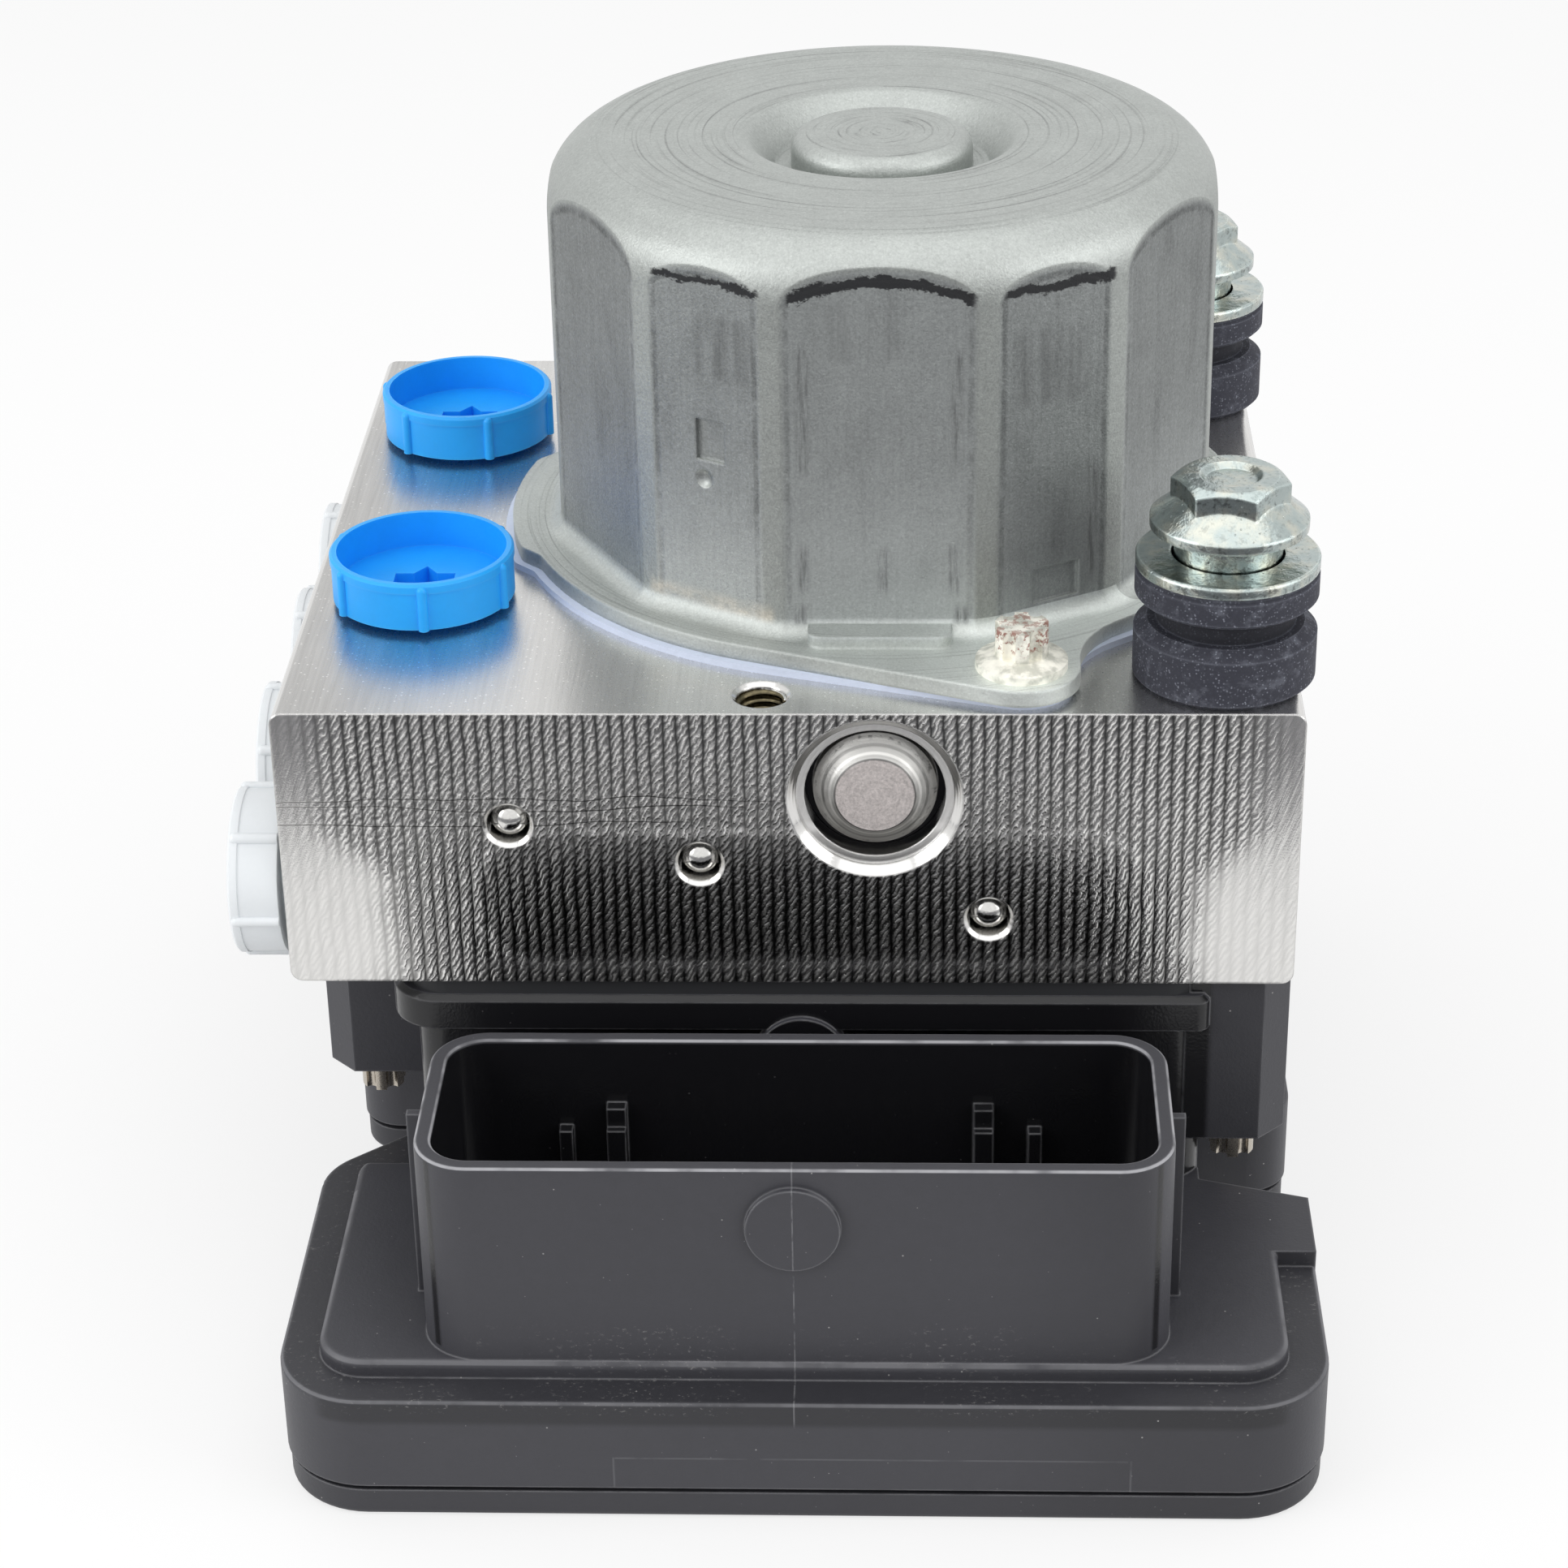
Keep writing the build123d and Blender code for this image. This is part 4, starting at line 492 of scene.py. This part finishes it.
def plug_steel():
    """The pump's end plug: a speckled matt disc inside turned rings, and painted shade in the gap
    around it.
    """
    f = Finish("turned_plug")
    dx = f.x - pump_plug_x
    dz = f.z - pump_plug_z
    radius = (dx * dx + dz * dz).root()
    disc = radius.rise(4.75, 4.6)
    border = radius.near(4.72, 0.05, 0.12)
    # painted shade: the plug's rim down in the bore's gap is painted near black
    gap_shade = radius.rise(7.2, 7.5)
    grit = f.noise(0.30, 2.0, rough=0.8)
    turned = f.noise(0.32, 2.0, (1, 9, 1), f.vector(radius, dx * 0.2, dz * 0.2))
    nicks = f.noise(0.9, 4.0).rise(0.56, 0.66) * radius.rise(6.3, 7.0)
    cuts = radius.near(5.35, 0.06, 0.16) * 0.35 - radius.near(6.15, 0.08, 0.16) * 0.30
    tone = 0.50 + turned * 0.55 + disc * (grit * 0.9 - 0.26) - border * 0.5 - nicks * 0.35 + cuts
    colour = f.mix(disc, srgb(212, 211, 208), srgb(202, 195, 193))
    colour = f.mix(gap_shade, f.shade(colour, tone), srgb(38, 38, 40))
    return f.surface(Base_Color=colour, Metallic=1.0 - disc * 0.5,
                     Roughness=0.38 + turned * 0.14 + disc * 0.20,
                     Normal=f.bump(turned * (1 - disc) * 1.2 + grit * 1.4, 0.03))


def plain_metal(name, colour, roughness, metallic=1.0, lines=(1, 1, 1)):
    """Turned, ground or pressed metal of an inner piece, with fine lines and a little stain."""
    f = Finish(name)
    fine = f.noise(0.3, 3.0, lines)
    stain = f.noise(4.0, 3.0)
    edge = f.edges(0.3)
    # painted highlight: the edges slightly lighter
    return f.surface(Base_Color=f.shade(colour, 0.80 + fine * 0.20 + stain * 0.12 + edge * 0.15),
                     Metallic=metallic, Roughness=roughness + fine * 0.12,
                     Normal=f.bump(fine, 0.02))


def wound_copper():
    """Enamelled wire, with the strands showing as fine ridges."""
    f = Finish("copper")
    x = f.x - motor_x
    radius = (x * x + f.y * f.y).root()
    strand = ((radius * 2.2 + f.z * 1.4 + f.noise(2.0, 2.0)) * (2 * math.pi)).sine() * 0.5 + 0.5
    return f.surface(Base_Color=f.mix(strand, srgb(128, 62, 34), srgb(214, 128, 78)),
                     Metallic=0.9, Roughness=0.30 + strand * 0.1, Normal=f.bump(strand, 0.12))


def stacked_steel():
    """Laminated core: thin sheets along the shaft."""
    f = Finish("laminations")
    sheet = ((f.z / 0.5) * (2 * math.pi)).sine() * 0.5 + 0.5
    stain = f.noise(2.0, 3.0)
    return f.surface(Base_Color=f.shade(srgb(128, 128, 130), 0.6 + sheet * 0.3 + stain * 0.2),
                     Metallic=0.9, Roughness=0.42 + stain * 0.15, Normal=f.bump(sheet, 0.05))


# ---------------------------------------------------------------- plastics, rubber and the rest
def moulded(name, colour, roughness, shine=0.5, edge_wear_and_sheen=0.25, dust=0.06, grain=0.30):
    """Moulded plastic: fine eroded texture, edges paler from wear and a painted highlight, dust and
    flow shade.
    """
    f = Finish(name)
    texture = f.noise(grain, 3.0)
    flow = f.noise(14.0, 3.0)
    edge = f.edges(0.45)
    motes = f.specks(1.6, dust, 0.10)
    # edges paler: real wear and a painted highlight
    tone = 0.88 + texture * 0.12 + flow * 0.14 + edge * edge_wear_and_sheen
    return f.surface(Base_Color=f.mix(motes * 0.55, f.shade(colour, tone), srgb(205, 205, 208)),
                     Roughness=roughness + texture * 0.10 + flow * 0.06,
                     Specular_IOR_Level=shine,
                     Normal=f.bump(texture * 0.5 + motes * 0.4, 0.03))


def control_unit_plastic():
    """Charcoal glass-filled plastic: flow marks, seam line, dust, paler rims from wear and painted
    highlight, painted shade in recesses.
    """
    f = Finish("housing_plastic")
    texture = f.noise(0.35, 3.0)
    mottle = f.noise(1.6, 4.0, rough=0.7)
    flow = f.noise(18.0, 3.0, (1.6, 1, 0.8))
    # edges paler: wear and a painted highlight, broken by noise
    edge = f.edges(0.4) * f.noise(5.0, 3.0).rise(0.1, 0.6)
    motes = f.specks(1.7, 0.16, 0.08)
    grit = f.specks(0.7, 0.07, 0.12)
    front = f.ny.rise(-0.6, -0.9)
    broken = f.noise(1.2, 3.0, (1, 1, 2.2)).rise(0.36, 0.52)
    seam = f.x.near(shroud_seam_x, 0.05, 0.09) * f.y.below(shroud_front + 12)
    seam = seam * broken * f.y.rise(shroud_front + 4, shroud_front + 1) * f.z.rise(13.0, 14.5)
    # a shallow outline left by a mould insert, low on the front wall
    inside_x = f.x.near(10.0, 29.4, 0.1)
    line = f.z.near(8.8, 0.05, 0.12) * inside_x
    ends = f.x.near(-19.6, 0.05, 0.12) + f.x.near(39.8, 0.05, 0.12)
    line = (line + ends * f.z.near(6.6, 2.2, 0.2)) * front * f.y.rise(-95.5, -96.2)
    line = line * f.noise(5.0, 3.0).rise(0.3, 0.6)
    # scraped flecks along the foot of the shroud and the front rim of the tray
    near_foot = f.z.near(20.5, 2.2, 1.6) * f.y.rise(shroud_front + 2, shroud_front)
    near_foot = near_foot + f.z.near(16.0, 0.8, 0.6)
    flecks = f.noise(0.45, 4.0, (1.6, 1, 1), rough=0.75).rise(0.58, 0.70) * near_foot.smaller(1.0)
    flecks = flecks * f.noise(11.0, 2.0).rise(0.35, 0.65)
    # painted shade on the shroud's inside and the wall behind it, where little light comes
    inner = f.y.near(-76.9, 12.8, 0.4) * f.z.near(32.0, 12.4, 0.4)
    inner = inner * f.x.near(1.3, 41.4, 0.4)
    behind = f.y.near(-54.0, 3.4, 0.6) * f.ny.below(-0.3) * f.x.near(0.0, 50.0, 1.0)
    hollow = inner.larger(behind)
    speck = (motes * 0.50).larger(grit * 0.28).larger(flecks * 0.26)
    tone = 0.82 + texture * 0.14 + flow * 0.14 + mottle * 0.22
    # painted dark reflection: a band just under the tray's front rim
    dark_reflection_band = f.z.near(14.9, 0.9, 1.0) * front * f.y.rise(-95.0, -96.0)
    tone = tone * (1 - hollow * 0.8) * (1 - dark_reflection_band * 0.45)
    # painted shade on the tray's upward ledge; the front also darker towards its right end
    ledge_shade = f.z.near(16.0, 0.8, 0.4) * f.nz.rise(0.90, 0.97)
    tone = tone * (1 - ledge_shade * 0.30) * (1 - f.x.rise(20.0, 45.0) * front * 0.24)
    tone = tone * (1 - f.z.below(4.0) * 0.2)
    # painted highlight on upward-facing fillets, strongest on the shroud's rim
    fillet_highlight = f.nz.near(0.70, 0.16, 0.14) * f.noise(6.0, 3.0).rise(0.2, 0.6) * f.y.below(-57.0)
    fillet_highlight = fillet_highlight * (0.24 + f.z.rise(43.0, 44.2) * 0.76)
    pale = (seam * 0.30 + line * 0.14 + edge * 0.62 + fillet_highlight).smaller(1.0)
    colour = f.mix(pale, f.shade(srgb(58, 58, 63), tone), srgb(158, 158, 162))
    colour = f.mix(speck * (1 - hollow * 0.8), colour, srgb(190, 188, 186))
    rough = 0.34 + texture * 0.12 + flow * 0.06 + mottle * 0.08
    height = texture * 0.6 + flow * 0.3 + mottle * 0.5 + seam * 2.0 + line * 1.2
    return f.surface(Base_Color=colour, Roughness=rough * (1 - hollow * 0.6),
                     Specular_IOR_Level=0.42, Normal=f.bump(height, 0.035, f.rounded))


def isolator_rubber():
    """Dark rubber with a dusty skin, chalky rubs and faint rings from its mould."""
    f = Finish("rubber")
    skin = f.noise(0.35, 4.0)
    chalk = f.noise(2.2, 5.0, rough=0.7).rise(0.50, 0.72)
    grains = f.specks(0.6, 0.22, 0.22)
    rings = ((f.z / 0.55) * (2 * math.pi)).sine() * 0.5 + 0.5
    edge = f.edges(0.5)
    salt = f.specks(0.32, 0.55, 0.42) * f.noise(0.9, 3.0).rise(0.35, 0.65)
    # painted shade in the neck's slot, where the pale marks are also held back
    neck_shade = f.z.near(block_top + 8.8, 1.45, 0.3) * (1 - abs(f.nz).rise(0.4, 0.8))
    # edges paler: chalky wear and a painted highlight
    pale = (chalk * 0.26 + grains * 0.32 + salt * 0.60 + edge * 0.50).smaller(1.0)
    tone = (0.75 + skin * 0.5) * (1 - neck_shade * 0.5)
    colour = f.mix(pale * (1 - neck_shade * 0.8), f.shade(srgb(52, 53, 62), tone),
                   srgb(140, 144, 156))
    return f.surface(Base_Color=colour, Roughness=0.62 + skin * 0.2,
                     Specular_IOR_Level=0.3,
                     Normal=f.bump(skin * 0.8 + grains * 0.5 + rings * 0.1, 0.06))


def cap_blue():
    """Bright blue polyethylene travelling caps."""
    f = Finish("blue_cap")
    texture = f.noise(0.5, 3.0)
    flow = f.noise(5.0, 3.0)
    edge = f.edges(0.35)
    # painted highlight: edges mixed towards a paler blue
    colour = f.mix(edge * 0.3, f.shade(srgb(26, 162, 245), 0.90 + flow * 0.2 + texture * 0.06),
                   srgb(96, 186, 252))
    return f.surface(Base_Color=colour, Roughness=0.36 + texture * 0.12,
                     Specular_IOR_Level=0.45, Subsurface_Weight=0.12,
                     Subsurface_Radius=(1.0, 1.0, 1.0), Subsurface_Scale=0.002,
                     Normal=f.bump(texture, 0.02))


def cap_white():
    """Milky natural polyethylene travelling caps."""
    f = Finish("white_cap")
    texture = f.noise(0.6, 3.0)
    flow = f.noise(6.0, 3.0)
    edge = f.edges(0.4)
    # painted shade: edges a little darker
    tone = 0.94 + flow * 0.06 + texture * 0.03 - edge * 0.08
    return f.surface(Base_Color=f.shade(srgb(222, 226, 229), tone), Roughness=0.40 + texture * 0.1,
                     Specular_IOR_Level=0.45, Subsurface_Weight=0.35,
                     Subsurface_Radius=(1.0, 1.0, 1.0), Subsurface_Scale=0.003,
                     Normal=f.bump(texture, 0.02))


def gasket_skin():
    """Lavender-grey coated paper gasket."""
    f = Finish("gasket_film")
    fibre = f.noise(0.5, 4.0, (2, 1, 1))
    stain = f.noise(5.0, 3.0)
    return f.surface(Base_Color=f.shade(srgb(202, 211, 230), 0.84 + fibre * 0.16 + stain * 0.12),
                     Roughness=0.45 + fibre * 0.15, Normal=f.bump(fibre, 0.03))


def board_laminate():
    """Green glass-fibre board with a faint weave under its varnish."""
    f = Finish("board")
    weave = (f.x * 9.0).sine() * (f.y * 9.0).sine() * 0.5 + 0.5
    stain = f.noise(7.0, 3.0)
    return f.surface(Base_Color=f.shade(srgb(30, 92, 58), 0.8 + weave * 0.12 + stain * 0.2),
                     Roughness=0.32 + weave * 0.05, Normal=f.bump(weave, 0.02))


def dress(aluminium):
    """Gives every solid its finish; the block's is made first, because its thread takes it too."""
    steel = plain_metal("steel", srgb(200, 200, 200), 0.20)
    ball = plain_metal("ball_steel", srgb(226, 225, 222), 0.08)
    black_plastic = moulded("moulded_plastic", srgb(46, 46, 50), 0.42)
    seal = moulded("seal", srgb(34, 35, 38), 0.55, dust=0.02)
    housing = control_unit_plastic()
    zinc = bright_zinc()
    copper = wound_copper()
    blue = cap_blue()
    white = cap_white()
    finishes = {
        aluminium: ("valve_block",),
        can_metal(): ("motor_housing",),
        gasket_skin(): ("motor_gasket",),
        weathered_screw(): ("motor_screws",),
        nickel_screw(): ("ecu_screws",),
        plug_steel(): ("pump_plugs",),
        zinc: ("mounting_bolts", "isolator_washers", "isolator_sleeves"),
        isolator_rubber(): ("isolators",),
        housing: ("ecu_housing", "ecu_cover"),
        blue: ("inlet_cap_front", "inlet_cap_rear"),
        white: ("outlet_cap_1", "outlet_cap_2", "outlet_cap_3", "outlet_cap_4"),
        ball: ("ball_plugs",),
        steel: ("lower_bearing", "upper_bearing", "nose_bearing", "rotor_shaft", "eccentric_ring",
                "pump_cylinders", "pump_pistons", "pump_springs", "valve_cartridges",
                "pressure_sensor", "accumulator_piston_front", "accumulator_piston_rear",
                "accumulator_spring_front", "accumulator_spring_rear"),
        plain_metal("pressed_plate", srgb(186, 188, 186), 0.32): ("motor_end_plate",),
        plain_metal("magnet", srgb(70, 71, 76), 0.45, 0.6): ("motor_magnets",),
        plain_metal("carbon", srgb(42, 42, 44), 0.5, 0.2): ("motor_brushes",),
        plain_metal("cap_aluminium", srgb(212, 212, 212), 0.26): ("accumulator_caps",),
        plain_metal("contact", srgb(206, 204, 196), 0.24): ("connector_pins",),
        stacked_steel(): ("armature_core",),
        copper: ("armature_windings", "commutator"),
        black_plastic: ("brush_holder", "motor_lead", "solenoid_coils"),
        seal: ("cover_seal", "block_seal"),
        board_laminate(): ("circuit_board",),
    }
    for finish, nodes in finishes.items():
        for name in nodes:
            solid = frame["nodes"][name]
            if not solid.data.materials:
                solid.data.materials.append(finish.material)
            for slot in solid.material_slots:
                slot.material = finish.material


# ---------------------------------------------------------------- tapped thread
def add_piece(name, mesh_builder, material, body):
    """Makes a mesh object from a bmesh, at the origin, and lets it ride on its body."""
    mesh = bpy.data.meshes.new(name)
    mesh_builder.to_mesh(mesh)
    mesh_builder.free()
    mesh.materials.append(material)
    piece = bpy.data.objects.new(name, mesh)
    bpy.context.scene.collection.objects.link(piece)
    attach(piece, body)
    return piece


thread_pitch = 1.0
thread_rise = 0.48
thread_steps = 28


def tapped_thread(material):
    """The thread inside the block's tapped hole, swept as one ridge down the wall."""
    build = bmesh.new()
    wall = tapped_hole_radius - 0.02
    top = tapped_hole.z - 0.9
    corners = [(wall, 0.42), (wall - thread_rise, 0.0), (wall, -0.42)]
    ring = [build.verts.new((tapped_hole.x + r, tapped_hole.y, top + h)) for r, h in corners]
    edges = [build.edges.new((ring[i], ring[(i + 1) % 3])) for i in range(3)]
    turns = int((tapped_hole_depth - 1.5) / thread_pitch)
    bmesh.ops.spin(build, geom=ring + edges, cent=(tapped_hole.x, tapped_hole.y, top),
                   axis=(0, 0, 1), angle=turns * 2 * math.pi, steps=turns * thread_steps,
                   dvec=(0, 0, -thread_pitch / thread_steps))
    bmesh.ops.holes_fill(build, edges=[e for e in build.edges if e.is_boundary], sides=3)
    bmesh.ops.recalc_face_normals(build, faces=build.faces)
    bmesh.ops.scale(build, vec=(MM, MM, MM), verts=build.verts)
    return add_piece("tapped_hole_thread", build, material, "unit")


# ---------------------------------------------------------------- floor, light and backdrop
fill_light = 0.72
floor_grey = (0.86, 0.86, 0.86, 1)
floor_glow = 0.7
cloth_grey = (0.20, 0.20, 0.21, 1)
# name, place and target in metres, width and height in metres, watts
lamps = (("top_box", (0.0, -0.08, 0.80), (0.0, 0.0, 0.08), (1.1, 1.1), 2.6),
         ("left_box", (-0.70, -0.35, 0.40), (0.0, 0.0, 0.07), (0.6, 0.45), 2.5),
         ("right_box", (0.75, -0.30, 0.38), (0.0, 0.0, 0.07), (0.6, 0.45), 2.1))


def studio_material(name, colour, glow):
    """A stage surface that is lifted towards white for the camera and in reflections."""
    f = Finish(name)
    path = f.add("ShaderNodeLightPath").socket.node
    seen = (Value(f, path.outputs["Is Camera Ray"]) + Value(f, path.outputs["Is Glossy Ray"])
            + Value(f, path.outputs["Is Transmission Ray"])).smaller(1.0)
    paint = f.add("ShaderNodeBsdfDiffuse", None, {"Color": colour})
    lit = f.add("ShaderNodeEmission", None, {"Color": (1, 1, 1, 1), "Strength": 1.0})
    f.add_output(f.add("ShaderNodeMixShader", None, {0: seen * glow, 1: paint, 2: lit}))
    return f.material


def stage_plane(name, size, place, material):
    build = bmesh.new()
    bmesh.ops.create_grid(build, x_segments=1, y_segments=1, size=0.5)
    bmesh.ops.scale(build, vec=(size[0], size[1], 1), verts=build.verts)
    bmesh.ops.translate(build, vec=place, verts=build.verts)
    mesh = bpy.data.meshes.new(name)
    build.to_mesh(mesh)
    build.free()
    mesh.materials.append(material)
    plane = bpy.data.objects.new(name, mesh)
    bpy.context.scene.collection.objects.link(plane)
    return plane


def soft_box(name, place, target, size, watts):
    """A rectangular lamp that faces the target."""
    data = bpy.data.lights.new(name, "AREA")
    data.shape = "RECTANGLE"
    data.size, data.size_y = size
    data.energy = watts
    lamp = bpy.data.objects.new(name, data)
    aim = (Vector(target) - Vector(place)).to_track_quat("-Z", "Y")
    lamp.matrix_world = Matrix.Translation(Vector(place)) @ aim.to_matrix().to_4x4()
    bpy.context.scene.collection.objects.link(lamp)
    return lamp


def set_stage():
    """White floor, an unseen grey cloth in front that only metal reflects, and soft boxes."""
    stage_plane("floor", (8, 8), (0, 0, 0), studio_material("floor", floor_grey, floor_glow))
    cloth = Finish("grey_cloth")
    cloth.add_output(cloth.add("ShaderNodeBsdfDiffuse", None, {"Color": cloth_grey}))
    card = stage_plane("front_cloth", (1.6, 0.9), (0, -0.63, 0.001), cloth.material)
    card.visible_camera = False
    card.visible_diffuse = False
    card.visible_transmission = False
    card.visible_shadow = False

    world = bpy.data.worlds.new("studio")
    bpy.context.scene.world = world
    world.use_nodes = True
    nodes, links = world.node_tree.nodes, world.node_tree.links
    nodes.clear()
    path = nodes.new("ShaderNodeLightPath")
    seen = nodes.new("ShaderNodeMath")
    seen.operation = "ADD"
    links.new(path.outputs["Is Camera Ray"], seen.inputs[0])
    links.new(path.outputs["Is Glossy Ray"], seen.inputs[1])
    either = nodes.new("ShaderNodeMath")
    either.operation = "MAXIMUM"
    links.new(seen.outputs[0], either.inputs[0])
    links.new(path.outputs["Is Transmission Ray"], either.inputs[1])
    strength = nodes.new("ShaderNodeMapRange")
    strength.inputs["To Min"].default_value = fill_light
    strength.inputs["To Max"].default_value = 1.0
    links.new(either.outputs[0], strength.inputs["Value"])
    back = nodes.new("ShaderNodeBackground")
    back.inputs["Color"].default_value = (1, 1, 1, 1)
    links.new(strength.outputs[0], back.inputs["Strength"])
    out = nodes.new("ShaderNodeOutputWorld")
    links.new(back.outputs[0], out.inputs["Surface"])

    for lamp in lamps:
        soft_box(*lamp)


set_camera()
aluminium = milled_block()
dress(aluminium)
tapped_thread(aluminium.material)
set_stage()
bpy.context.scene.view_settings.view_transform = "Standard"
